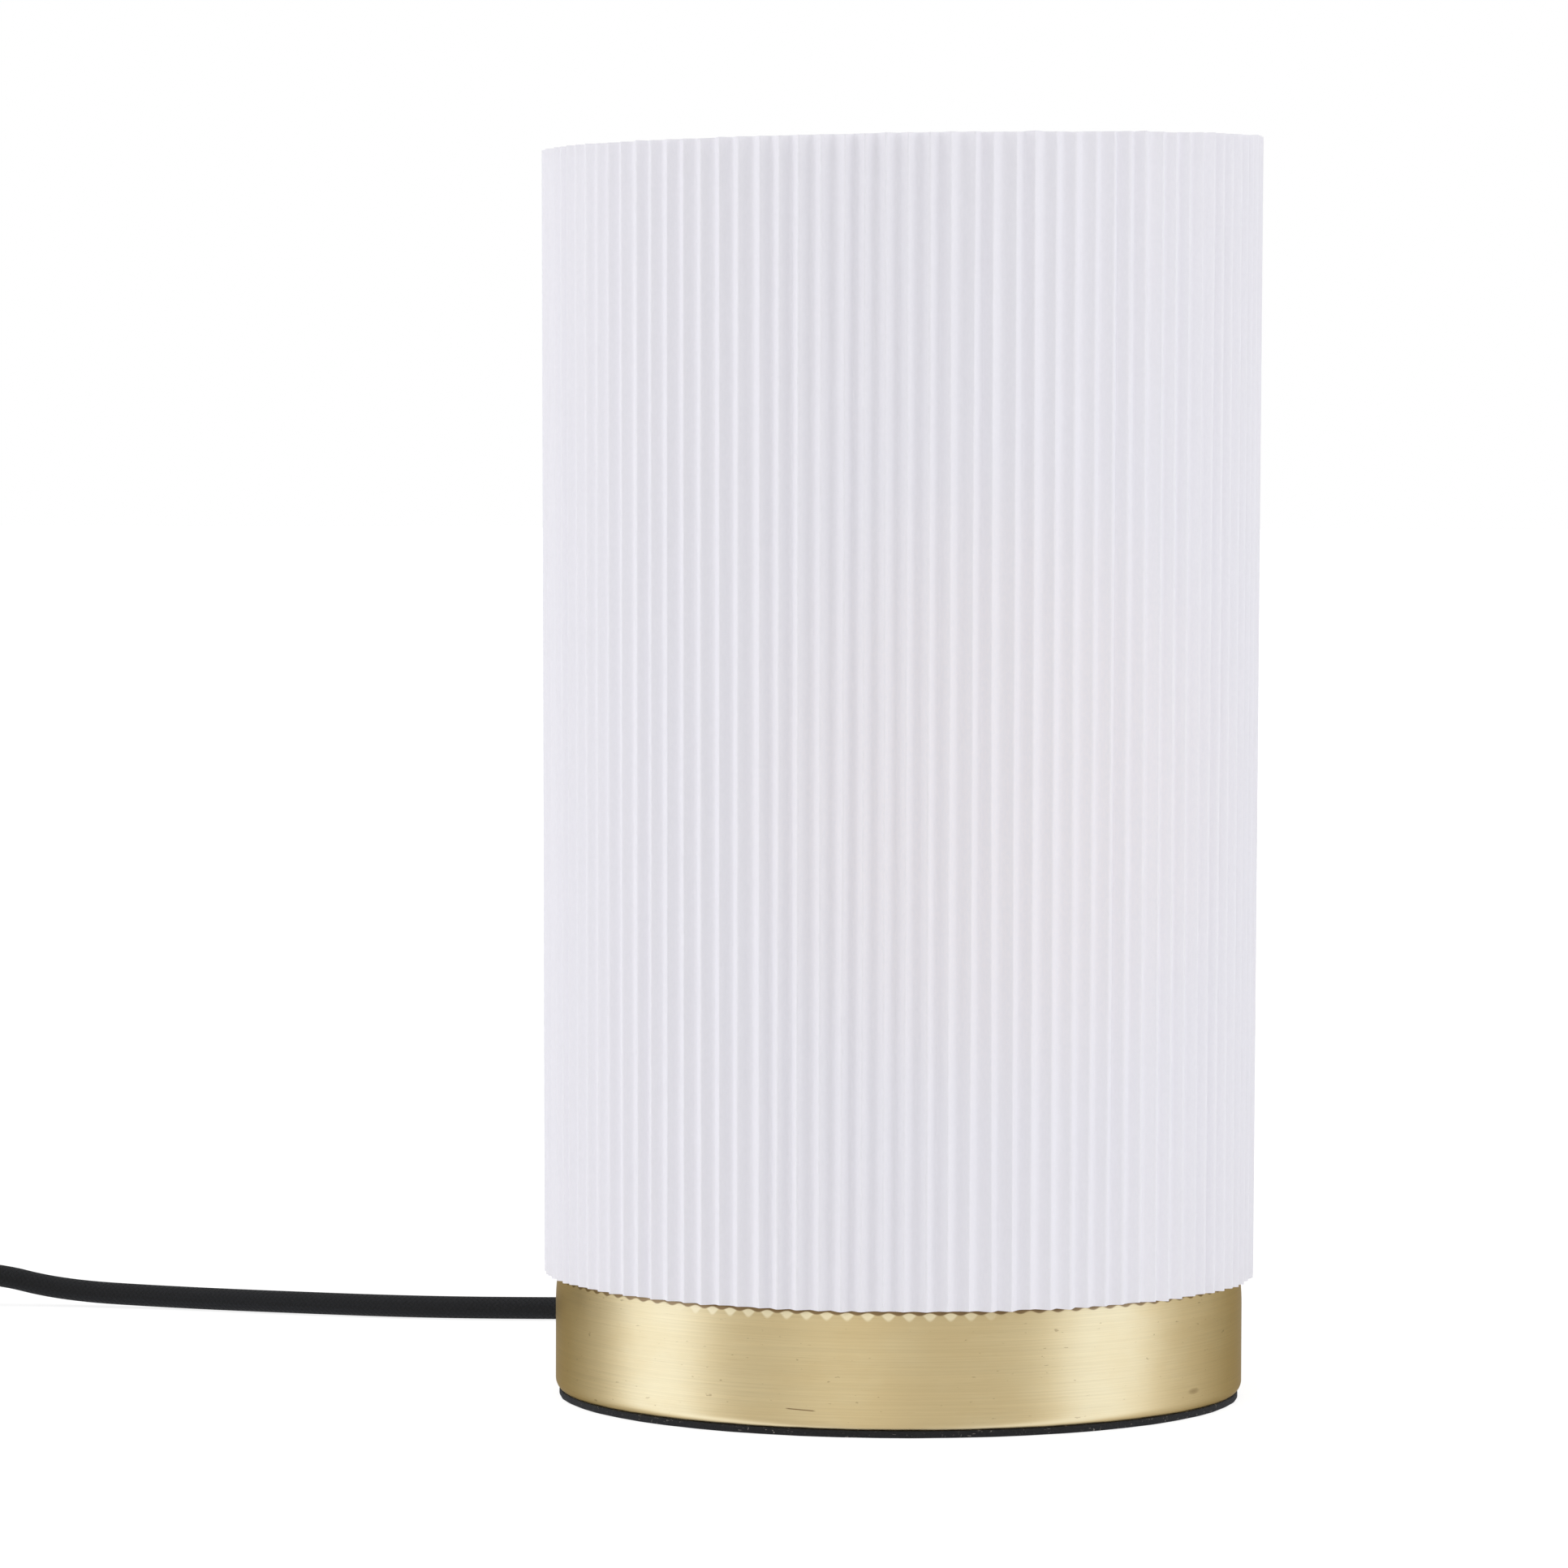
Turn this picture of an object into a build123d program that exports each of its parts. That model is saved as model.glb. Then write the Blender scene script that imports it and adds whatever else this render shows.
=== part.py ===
from build123d import *
import math
import os

# Pleated paper table lamp. Millimetres, +Z up, origin at the centre of the pad's underside.

# ---- fits
glue_gap = 0.15  # between pieces that are glued or crimped together
slide_gap = 0.05  # radial room of a screw or a cord in its hole
running_gap = 0.3  # between curved faces of pieces that move apart
pivot_gap = 0.06  # radial room of a pivot pin in its hole
hole_end_gap = 1.0  # depth of a blind hole past its screw's end

# ---- pad and bottom plate
pad_setback = 0.7
pad_thickness = 1.4
plate_thickness = 1.6
plate_side_gap = 0.2
plate_screw_count = 3
plate_screw_inset = 13.5
plate_screw_radius = 2.0
plate_screw_head = 3.9
plate_screw_length = 11.0
plate_screw_socket = 1.0
plate_socket_depth = 0.95
leg_radius = 6.0

# ---- spun brass drum
drum_setback = 2.3
drum_height = 26.6
drum_wall = 0.9
foot_round = 2.4
foot_turn = 57.0
shoulder_round = 39.0
shoulder_turn = 10.5
rim_round = 2.5

# ---- ballast
ballast_side_gap = 4.3
ballast_thickness = 14.0
ballast_recess_radius = 16.0
ballast_web = 8.0

# ---- threaded nipple and its nuts
nipple_radius = 4.95
nipple_bore = 3.3
nipple_below_nut = 1.2
nipple_in_cap = 7.0
nut_across_flats = 14.0
nut_height = 5.0
lock_washer_radius = 8.0
lock_washer_thickness = 1.0
seat_washer_radius = 13.5
seat_washer_thickness = 1.5

# ---- flex, leads and their anchorage in the base
cord_diameter = 4.8
cord_height_in_base = 7.5
cover_cut_back = 18.0
saddle_inset = 17.5
saddle_width = 24.0
saddle_depth = 10.0
saddle_floor = 1.5
saddle_screw_spread = 8.0
saddle_screw_radius = 1.5
saddle_screw_head = 2.7
saddle_head_height = 2.0
saddle_screw_length = 11.0
saddle_slot_width = 0.8
saddle_slot_depth = 0.8
lead_diameter = 2.2
lead_spread = 1.3
lead_bend = 6.5
lead_turn_height = 4.0
terminal_bend = 3.4

# ---- strain relief at the back of the drum
relief_neck_radius = 3.3
relief_flange_radius = 4.4
relief_flange_thickness = 1.6
relief_root_radius = 3.9
relief_tip_radius = 2.9
relief_length = 18.0
relief_clip_radius = 4.3
relief_clip_thickness = 1.2

# ---- lampholder
cap_foot_radius = 12.0
cap_foot_height = 3.5
cap_height = 18.0
cap_wall = 1.8
cap_boss_height = 8.0
cap_floor = 2.5
holder_radius = 19.5
holder_wall = 2.0
holder_height = 30.5
holder_mouth_radius = 14.4
holder_lip = 2.0
core_radius = 17.2
core_height = 12.0
core_floor = 4.0
core_bore = 7.8
sleeve_bore = 13.6
sleeve_wall = 0.5
sleeve_height = 23.5
sleeve_flange_bore = 10.6
block_inner = 7.5
block_length = 6.0
block_width = 6.4
block_height = 6.5
rivet_radius = 1.2
live_rivet_place = 8.7
neutral_rivet_place = 12.1
contact_width = 5.0
contact_thickness = 0.5
contact_rise = 3.2
contact_heel = 5.6
contact_heel_length = 1.0
contact_heel_rise = 0.7
contact_bend = 1.0
contact_end = 2.0
contact_foot = 10.2
terminal_screw_radius = 1.5
terminal_screw_head = 2.4
terminal_head_height = 1.4
terminal_screw_length = 5.0

# ---- bulb
tip_gap = 0.1
tip_radius = 4.6
tip_face_radius = 2.8
tip_height = 1.8
insulator_radius = 10.4
insulator_face_radius = 5.4
insulator_edge = 1.2
insulator_height = 3.6
thread_crest = 13.1
thread_root = 12.2
thread_pitch = 3.63
thread_turns = 6
screw_cap_wall = 0.45
screw_cap_floor = 1.0
thread_rise = 0.25
thread_fall = 0.9
globe_radius = 30.0
globe_wall = 1.2
bulb_length = 107.0
globe_mouth_share = 2 / 3
housing_root_radius = 13.4
housing_wall = 1.5
housing_flare = 0.4
housing_low_reach = 0.45
housing_mouth_reach = 0.89
housing_plug_depth = 3.0
light_board_thickness = 1.5
chip_count = 8
chip_size = 3.0
chip_height = 0.8
chip_circle = 12.0
driver_board_height = 20.0
driver_board_thickness = 1.4

# ---- shade
shade_height = 225.45
skirt_overlap = 3.45
shade_radius_bottom = 71.0
shade_flare = 0.8
pleat_count = 108
pleat_depth = 1.35
ridge_share = 0.34
valley_share = 0.5
paper_wall = 0.35
corner_thinning = 0.6
liner_wall = 0.6
liner_setback = 0.4
rest_ring_width = 16.5
rest_ring_thickness = 1.2
top_wire = 3.0
top_wire_drop = 0.8
seam_tape_width = 14.0
seam_tape_end_gap = 1.0
seam_tape_thickness = 0.25

# ---- inline switch (its own frame: origin on the floor below its middle, cord along X)
switch_behind = 76.3
switch_length = 62.0
switch_width = 27.0
switch_height = 17.0
switch_split = 7.5
switch_wall = 1.8
switch_nose_width = 12.0
switch_nose_length = 14.0
switch_edge_round = 2.0
rocker_length = 19.6
rocker_width = 11.8
rocker_tilt = 8.0
rocker_rise = 5.2
rocker_pivot_height = 12.0
rocker_pin_radius = 1.2
rocker_pin_length = 1.6
rocker_depth = 1.5
rocker_gap = 0.4
rocker_leg = 3.0
rocker_leg_drop = 1.2
pin_end_gap = 0.2
ear_thickness = 2.2
ear_width = 6.4
bridge_length = 13.0
bridge_width = 4.0
bridge_thickness = 0.6
contact_post_width = 5.0
contact_post_thickness = 2.0
contact_post_height = 4.9
contact_foot_length = 4.0
contact_foot_height = 1.0
case_screw_place = (14.0, 8.4)
case_screw_radius = 1.4
case_screw_head = 2.5
case_head_height = 1.8
case_screw_length = 12.0
case_head_sink = 0.4
case_slot_width = 0.7
case_slot_depth = 0.7
case_boss_radius = 2.9
switch_stub = 9.0
core_straight = 6.0
core_splay = 6.0
core_side = 5.6
core_clearance = 0.1
core_bend = 3.0
live_straight = 4.5
live_drop_length = 5.0
live_bend = 2.5

# ---- plug (its own frame: origin on the floor below the pin face, pins along -Y)
plug_length = 34.0
plug_width = 26.0
plug_rear_width = 13.0
plug_height = 14.0
plug_edge_round = 2.5
plug_shoulder = 15.3
plug_bore_start = 20.0
plug_boot_length = 12.0
plug_boot_radius = 5.0
plug_boot_tip = 3.2
pin_spread = 18.6
pin_radius = 2.0
pin_tip_length = 9.0
pin_tip_round = 1.4
pin_sleeve_radius = 1.75
pin_sleeve_length = 10.0
pin_core_radius = 1.4
pin_root_length = 12.0

# ---- put-away coil
coil_inset = 35.1
coil_middle_radius = 27.9
coil_turns_across = 4
coil_layers = 2
coil_pitch = 4.9
coil_edge_round = 2.0
cord_floor_gap = 0.1

# ---- heights worked out from the sizes above
shade_radius_top = shade_radius_bottom + shade_flare
drum_radius = shade_radius_bottom - drum_setback
pad_radius = drum_radius - pad_setback
ballast_radius = drum_radius - drum_wall - ballast_side_gap
plate_screw_circle = ballast_radius - plate_screw_inset
saddle_place = ballast_radius - saddle_inset
flex_inner_end = saddle_place - cover_cut_back
globe_mouth_drop = globe_radius * globe_mouth_share
globe_mouth_radius = math.sqrt(globe_radius**2 - globe_mouth_drop**2)
cord_radius = cord_diameter / 2
lead_radius = lead_diameter / 2
cord_floor = cord_radius + cord_floor_gap
plate_top = pad_thickness + plate_thickness
drum_top = pad_thickness + drum_height
drum_ceiling = drum_top - drum_wall
ballast_bottom = drum_ceiling - ballast_thickness
web_bottom = drum_ceiling - ballast_web
nut_top = web_bottom - lock_washer_thickness
nut_bottom = nut_top - nut_height
nipple_bottom = nut_bottom - nipple_below_nut
cap_bottom = drum_top + seat_washer_thickness
cap_top = cap_bottom + cap_height
nipple_top = cap_bottom + nipple_in_cap
holder_top = cap_top + holder_height
core_bottom = cap_bottom + cap_boss_height + cap_floor
core_top = core_bottom + core_height
contact_top = core_top + contact_rise
tip_bottom = contact_top + tip_gap
insulator_bottom = tip_bottom + tip_height
screw_cap_bottom = insulator_bottom + insulator_height
screw_cap_top = screw_cap_bottom + thread_turns * thread_pitch
globe_centre = tip_bottom + bulb_length - globe_radius
globe_mouth = globe_centre - globe_mouth_drop
shade_bottom = drum_top - skirt_overlap
shade_top = shade_bottom + shade_height
shade_growth = shade_radius_top / shade_radius_bottom
saddle_top = cord_height_in_base + cord_radius
saddle_bottom = cord_height_in_base - cord_radius - saddle_floor
relief_end = drum_radius + relief_length
foot_drop = foot_round * math.sin(math.radians(foot_turn))
land_radius = drum_radius - foot_round + (foot_round - drum_wall) * math.cos(math.radians(foot_turn))

# Routes of the free cord, chosen by hand. The second number is the way back from the line named.
cord_line = drum_radius + switch_behind
coil_line = cord_line - coil_inset
route_to_switch = [
    (0.0, relief_end, 7.5),
    (0.0, drum_radius + 33.1, 7.5),
    (-7.6, drum_radius + 46.3, 5.3),
    (-20.8, drum_radius + 53.7, 3.2),
    (-40.0, drum_radius + 53.6, 2.5),
    (-71.0, drum_radius + 51.9, 2.5),
    (-101.0, drum_radius + 53.5, 2.5),
    (-130.0, drum_radius + 61.7, 2.5),
    (-157.0, drum_radius + 70.8, 2.5),
    (-182.0, drum_radius + 75.9, 3.4),
    (-198.0, cord_line, 7.5),
    (-212.0, cord_line, 7.5),
]
route_to_coil = [
    (-274.0, cord_line, 7.5),
    (-286.0, cord_line, 7.5),
    (-300.0, cord_line - 0.3, 4.6),
    (-315.0, cord_line + 0.1, 2.7),
    (-330.0, cord_line + 0.1, 2.5),
]
route_to_plug = [
    (-365.2, coil_line, 7.4),
    (-365.6, coil_line - 15.0, 7.0),
    (-365.6, coil_line - 29.9, 7.0),
]
coil_centre = (-330.0, coil_line)
switch_place = (-243.0, cord_line)
plug_place = (-365.6, coil_line - 29.9 - plug_boot_length - plug_length)


def disc(radius, bottom, top):
    """A plain disc or post between two heights."""
    return Pos(0, 0, bottom) * Cylinder(radius, top - bottom, align=(Align.CENTER, Align.CENTER, Align.MIN))


def annulus(outer, inner, bottom, top):
    """A disc with a round hole."""
    return disc(outer, bottom, top) - disc(inner, bottom, top)


def turned(points, turn=360.0):
    """A body turned about the vertical axis, from the +X side, from (radius, height) corners."""
    return revolve(Plane.XZ * make_face(Polyline(*points, close=True)), Axis.Z, turn)


def block(x_from, x_to, y_from, y_to, z_from, z_to):
    """A box between two corners."""
    centre = ((x_from + x_to) / 2, (y_from + y_to) / 2, (z_from + z_to) / 2)
    return Pos(*centre) * Box(x_to - x_from, y_to - y_from, z_to - z_from)


def rod(start, end, radius):
    """A straight round rod between two points."""
    path = Line(start, end)
    return sweep(Plane(origin=start, z_dir=Vector(*end) - Vector(*start)) * Circle(radius), path=path)


def around(shape, count, radius, first_angle=0.0):
    """The shape repeated on a circle about the vertical axis."""
    turns = [first_angle + 360 / count * number for number in range(count)]
    return [Rot(0, 0, turn) * Pos(radius, 0, 0) * shape for turn in turns]


def bend_radii(points):
    """The largest arc that each corner's two runs allow."""
    radii = []
    for before, corner, after in zip(points, points[1:], points[2:]):
        run_in = Vector(*corner) - Vector(*before)
        run_out = Vector(*after) - Vector(*corner)
        half_turn = math.radians(run_in.get_angle(run_out)) / 2
        radii.append(0.45 * min(run_in.length, run_out.length) / math.tan(half_turn))
    return radii


def tube(points, radii, radius):
    """A round tube along straight runs joined by tangent arcs."""
    path = FilletPolyline(*points, radius=radii)
    start = Plane(origin=path @ 0, z_dir=path % 0)
    return sweep(start * Circle(radius), path=path), path.length


def cord_tube(name, points):
    """A stretch of free cord, with its bends and its volume printed."""
    radii = bend_radii(points)
    solid, length = tube(points, radii, cord_radius)
    expected = math.pi * cord_radius**2 * length
    print(name, "radii", [round(value, 1) for value in radii])
    print(name, "length", round(length, 1), "volume share", round(solid.volume / expected, 4))
    return solid


def save(name, shape):
    """One STEP file for each named piece."""
    export_step(shape, f"parts/{name}.step")


def together(shapes):
    """Separate solids kept in one piece's file."""
    return Compound(children=[solid for shape in shapes for solid in shape.solids()])


# ---------------------------------------------------------------- base


def drum_solid(inset):
    """The drum's outer form as a full body, taken in by the inset."""
    shoulder_top = drum_top - rim_round * (1 - math.sin(math.radians(shoulder_turn)))
    shoulder_start = shoulder_top - shoulder_round * math.sin(math.radians(shoulder_turn))
    foot_top = pad_thickness + foot_drop
    foot_radius = foot_round - inset
    foot_angle = math.radians(foot_turn)
    foot_centre = drum_radius - foot_round
    start = (
        foot_centre + foot_radius * math.cos(foot_angle),
        foot_top - foot_radius * math.sin(foot_angle),
    )
    foot = JernArc(start, (math.sin(foot_angle), math.cos(foot_angle)), foot_radius, foot_turn)
    side = Line(foot @ 1, (drum_radius - inset, shoulder_start))
    shoulder = JernArc(side @ 1, (0, 1), shoulder_round - inset, shoulder_turn)
    rim = JernArc(shoulder @ 1, shoulder % 1, rim_round - inset, 90 - shoulder_turn)
    closing = Polyline(rim @ 1, (0, drum_top - inset), (0, start[1]), start)
    edges = [foot, side, shoulder, rim, closing]
    return revolve(Plane.XZ * make_face(edges), Axis.Z)


def relief_axis(shape):
    """Lays a body that was turned about Z along +Y, out of the back of the drum."""
    return Pos(0, 0, cord_height_in_base) * Rot(-90, 0, 0) * shape


def drum():
    """Spun brass shell, open below, with a hole for the nipple and one for the cord."""
    shell = drum_solid(0) - drum_solid(drum_wall)
    shell -= disc(land_radius, 0, pad_thickness + foot_drop)
    shell -= disc(nipple_radius + slide_gap, drum_ceiling - 1, drum_top + 1)
    shell -= relief_axis(disc(relief_neck_radius + slide_gap, drum_radius - 10, drum_radius + 10))
    return shell


def pad():
    return disc(pad_radius, 0, pad_thickness)


def plate():
    """Steel plate that closes the drum, countersunk for its screws."""
    body = disc(land_radius - plate_side_gap, pad_thickness, plate_top)
    sink = Pos(0, 0, pad_thickness) * plate_screw_head_form(slide_gap)
    for hole in around(sink, plate_screw_count, plate_screw_circle, 30):
        body -= hole
    return body


def plate_screw_head_form(room):
    """Countersunk head with a short shank, standing on z = 0."""
    return turned(
        [
            (0, 0),
            (plate_screw_head + room, 0),
            (plate_screw_radius + room, plate_thickness),
            (0, plate_thickness),
        ]
    )


def plate_screws():
    """Countersunk screws from below into the ballast's legs."""
    screw = plate_screw_head_form(0) + disc(plate_screw_radius, plate_thickness, plate_screw_length)
    screw -= disc(plate_screw_socket, -1, plate_socket_depth)
    return together(around(Pos(0, 0, pad_thickness) * screw, plate_screw_count, plate_screw_circle, 30))


def ballast():
    """Cast iron disc with three legs, a nut recess and a boss for the cord saddle."""
    body = disc(ballast_radius, ballast_bottom, drum_ceiling)
    body -= disc(ballast_recess_radius, ballast_bottom, web_bottom)
    body -= disc(nipple_radius + slide_gap, web_bottom, drum_ceiling)
    leg = disc(leg_radius, plate_top, ballast_bottom)
    hole_end = pad_thickness + plate_screw_length + hole_end_gap
    tapped = disc(plate_screw_radius + slide_gap, plate_top, hole_end)
    for foot in around(leg, plate_screw_count, plate_screw_circle, 30):
        body += foot
    for hole in around(tapped, plate_screw_count, plate_screw_circle, 30):
        body -= hole
    body += saddle_block(saddle_top, ballast_bottom)
    for place in (-saddle_screw_spread, saddle_screw_spread):
        depth = saddle_bottom + saddle_screw_length + hole_end_gap
        body -= Pos(place, saddle_place, 0) * disc(saddle_screw_radius + slide_gap, saddle_top, depth)
    return body


def saddle_block(bottom, top):
    half = saddle_depth / 2
    return block(-saddle_width / 2, saddle_width / 2, saddle_place - half, saddle_place + half, bottom, top)


def cord_saddle():
    """Clamp that presses the flex up against the ballast's boss."""
    body = saddle_block(saddle_bottom, saddle_top)
    groove = cord_radius + slide_gap
    near = saddle_place - saddle_depth
    far = saddle_place + saddle_depth
    body -= rod((0, near, cord_height_in_base), (0, far, cord_height_in_base), groove)
    body -= block(-groove, groove, near, far, cord_height_in_base, saddle_top)
    for place in (-saddle_screw_spread, saddle_screw_spread):
        hole = disc(saddle_screw_radius + slide_gap, saddle_bottom, saddle_top)
        hole += disc(saddle_screw_head + slide_gap, saddle_bottom, saddle_bottom + saddle_head_height)
        body -= Pos(place, saddle_place, 0) * hole
    return body


def saddle_screws():
    screw = disc(saddle_screw_head, saddle_bottom, saddle_bottom + saddle_head_height)
    screw += disc(saddle_screw_radius, saddle_bottom, saddle_bottom + saddle_screw_length)
    half = saddle_slot_width / 2
    slot_top = saddle_bottom + saddle_slot_depth
    screw -= block(-saddle_screw_head, saddle_screw_head, -half, half, saddle_bottom - 1, slot_top)
    places = (-saddle_screw_spread, saddle_screw_spread)
    return together([Pos(place, saddle_place, 0) * screw for place in places])


def nipple():
    return annulus(nipple_radius, nipple_bore, nipple_bottom, nipple_top)


def lock_nut():
    """Hexagon nut under the ballast's web."""
    circumradius = nut_across_flats / math.sqrt(3)
    body = extrude(Plane.XY.offset(nut_bottom) * RegularPolygon(circumradius, 6), nut_height)
    return body - disc(nipple_radius + slide_gap, nut_bottom, nut_top)


def lock_washer():
    return annulus(lock_washer_radius, nipple_radius + slide_gap, nut_top, web_bottom)


def seat_washer():
    return annulus(seat_washer_radius, nipple_radius + slide_gap, drum_top, cap_bottom)


def strain_relief():
    """Tapered boot that clips into the drum's back wall around the cord."""
    inner_face = drum_radius - drum_wall - running_gap
    neck = relief_neck_radius
    flange_end = drum_radius + slide_gap + relief_flange_thickness
    outline = [
        (cord_radius + slide_gap, inner_face - relief_clip_thickness),
        (relief_clip_radius, inner_face - relief_clip_thickness),
        (relief_clip_radius, inner_face),
        (neck, inner_face),
        (neck, drum_radius + slide_gap),
        (relief_flange_radius, drum_radius + slide_gap),
        (relief_flange_radius, flange_end),
        (relief_root_radius, flange_end),
        (relief_tip_radius, relief_end),
        (cord_radius + slide_gap, relief_end),
    ]
    return relief_axis(turned(outline))


def flex_inner():
    """The flex from the tip of the strain relief to where its cover is cut back."""
    return relief_axis(disc(cord_radius, flex_inner_end, relief_end))


def lead(side):
    """One insulated core from the flex, up the nipple and out to its terminal block."""
    x = side * lead_spread
    turn_height = core_bottom + lead_turn_height
    points = [
        (x, flex_inner_end, cord_height_in_base),
        (x, 0, cord_height_in_base),
        (x, 0, turn_height),
        (side * block_inner, 0, turn_height),
    ]
    return tube(points, [lead_bend, terminal_bend], lead_radius)[0]


# ---------------------------------------------------------------- lampholder


def holder_cap():
    """Lower cup of the lampholder, with a bored boss for the nipple."""
    side = cap_bottom + cap_foot_height
    body = turned(
        [
            (0, cap_bottom),
            (cap_foot_radius, cap_bottom),
            (cap_foot_radius, side),
            (holder_radius, core_bottom),
            (holder_radius, cap_top),
            (0, cap_top),
        ]
    )
    body -= disc(core_radius + slide_gap, core_bottom, cap_top)
    body -= disc(core_radius - cap_wall, cap_bottom + cap_boss_height, core_bottom)
    return body - disc(nipple_radius + slide_gap, cap_bottom, core_bottom)


def holder_shell():
    """Upper skirt of the lampholder with an inward lip round its mouth."""
    body = annulus(holder_radius, holder_radius - holder_wall, cap_top, holder_top)
    return body + annulus(holder_radius, holder_mouth_radius, holder_top - holder_lip, holder_top)


def terminal_pocket(side, room):
    """Space of one terminal block in the ceramic core, open below."""
    near = block_inner - room
    far = block_inner + block_length + room
    half = block_width / 2 + room
    top = core_top - core_floor
    return block(*sorted((side * near, side * far)), -half, half, core_bottom, top)


def holder_core():
    """Ceramic core that carries the blocks below and the contacts above."""
    body = disc(core_radius, core_bottom, core_top)
    body -= disc(core_bore, core_bottom, core_top - core_floor)
    for side in (-1, 1):
        body -= terminal_pocket(side, slide_gap)
    for x in (-live_rivet_place, neutral_rivet_place):
        body -= Pos(x, 0, 0) * disc(rivet_radius + slide_gap, core_bottom, core_top)
    return body


def terminal_blocks():
    """Brass blocks, each with a cross hole for its lead and a tapped hole from below."""
    top = core_top - core_floor
    bottom = top - block_height
    half = block_width / 2
    blocks = []
    for side in (-1, 1):
        near = side * block_inner
        far = side * (block_inner + block_length)
        body = block(*sorted((near, far)), -half, half, bottom, top)
        hole = terminal_screw_radius + slide_gap
        middle = side * (block_inner + block_length / 2)
        body -= Pos(middle, 0, 0) * disc(hole, bottom, bottom + terminal_screw_length - terminal_head_height)
        blocks.append(body)
    return together(blocks)


def terminal_screws():
    bottom = core_top - core_floor - block_height
    screw = disc(terminal_screw_head, bottom - terminal_head_height, bottom)
    screw += disc(terminal_screw_radius, bottom, bottom + terminal_screw_length - terminal_head_height)
    middle = block_inner + block_length / 2
    return together([Pos(side * middle, 0, 0) * screw for side in (-1, 1)])


def contact_rivets():
    """Rivets from the blocks up to the centre contact and to the sleeve's flange."""
    top = core_top - core_floor
    live = Pos(-live_rivet_place, 0, 0) * disc(rivet_radius, top, core_top)
    neutral = Pos(neutral_rivet_place, 0, 0) * disc(rivet_radius, top, core_top)
    return together([live, neutral])


def centre_contact():
    """Sprung brass strip whose free end meets the bulb's tip."""
    thick = contact_thickness
    heel_end = contact_heel + contact_heel_length
    outline = [
        (-contact_foot, core_top),
        (heel_end, core_top),
        (heel_end, core_top + contact_heel_rise),
        (contact_bend, contact_top),
        (-contact_end, contact_top),
        (-contact_end, contact_top - thick),
        (contact_bend - thick / 2, contact_top - thick),
        (contact_heel, core_top + thick),
        (-contact_foot, core_top + thick),
    ]
    face = Plane.XZ * make_face(Polyline(*outline, close=True))
    return extrude(face, contact_width / 2, both=True)


def screw_sleeve():
    """Brass sleeve that takes the bulb's screw cap, flanged over the core."""
    outer = sleeve_bore + sleeve_wall
    body = annulus(outer, sleeve_bore, core_top, core_top + sleeve_height)
    return body + annulus(outer, sleeve_flange_bore, core_top, core_top + sleeve_wall)


# ---------------------------------------------------------------- bulb


def bulb_tip():
    top = insulator_bottom
    return turned([(0, tip_bottom), (tip_face_radius, tip_bottom), (tip_radius, top), (0, top)])


def bulb_insulator():
    rim = screw_cap_bottom
    return turned(
        [
            (0, insulator_bottom),
            (insulator_face_radius, insulator_bottom),
            (insulator_radius, rim - insulator_edge),
            (insulator_radius, rim),
            (0, rim),
        ]
    )


def bulb_screw_cap():
    """Thin shell whose ridges stand for the screw thread."""
    outer = [(insulator_radius, screw_cap_bottom)]
    for turn in range(thread_turns):
        start = screw_cap_bottom + turn * thread_pitch
        outer.append((thread_root, start + thread_pitch * thread_rise))
        outer.append((thread_crest, start + thread_pitch / 2))
        outer.append((thread_root, start + thread_pitch * thread_fall))
    outer.append((thread_root + screw_cap_wall, screw_cap_top))
    bore = thread_root - screw_cap_wall
    floor = screw_cap_bottom + screw_cap_floor
    inner = [(bore, screw_cap_top), (bore, floor), (0, floor)]
    return turned([(0, screw_cap_bottom), *outer, *inner])


def housing_side(inset):
    """The housing's flare as a line from its root up to the globe's mouth."""
    rise = globe_mouth - screw_cap_top
    reach_in = (globe_mouth_radius - housing_root_radius) * housing_mouth_reach
    reach_down = reach_in * globe_mouth_radius / globe_mouth_drop
    return Bezier(
        (housing_root_radius - inset, screw_cap_top),
        (housing_root_radius + housing_flare - inset, screw_cap_top + rise * housing_low_reach),
        (globe_mouth_radius - reach_in - inset, globe_mouth - reach_down),
        (globe_mouth_radius - inset, globe_mouth),
    )


def housing_body(inset):
    """The housing's form as a full body, taken in by the inset."""
    side = housing_side(inset)
    foot = Polyline((0, globe_mouth), (0, screw_cap_top), side @ 0)
    lid = Line(side @ 1, (0, globe_mouth))
    return revolve(Plane.XZ * make_face([side, lid, foot]), Axis.Z)


def bulb_housing():
    """Plastic housing that flares from the screw cap up to the globe."""
    plug_bottom = screw_cap_top - housing_plug_depth
    plug = disc(thread_root - screw_cap_wall - slide_gap, plug_bottom, screw_cap_top)
    floor = screw_cap_top + housing_wall
    hollow = housing_body(housing_wall) - disc(globe_radius, screw_cap_top - 1, floor)
    hollow += disc(thread_root - screw_cap_wall - housing_wall, plug_bottom - 1, floor)
    return housing_body(0) + plug - hollow


def light_board():
    """Aluminium disc that closes the housing below the globe, clear of its narrowing wall."""
    narrowing = light_board_thickness * globe_mouth_drop / globe_mouth_radius
    radius = globe_mouth_radius - housing_wall - narrowing - glue_gap
    return disc(radius, globe_mouth - light_board_thickness, globe_mouth)


def light_chips():
    chip = Box(chip_size, chip_size, chip_height, align=(Align.CENTER, Align.CENTER, Align.MIN))
    return together(around(Pos(0, 0, globe_mouth) * chip, chip_count, chip_circle))


def driver_board():
    """Upright circuit board that hangs below the light board."""
    top = globe_mouth - light_board_thickness
    half = housing_root_radius - housing_wall - running_gap
    thick = driver_board_thickness / 2
    return block(-half, half, -thick, thick, top - driver_board_height, top)


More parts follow.
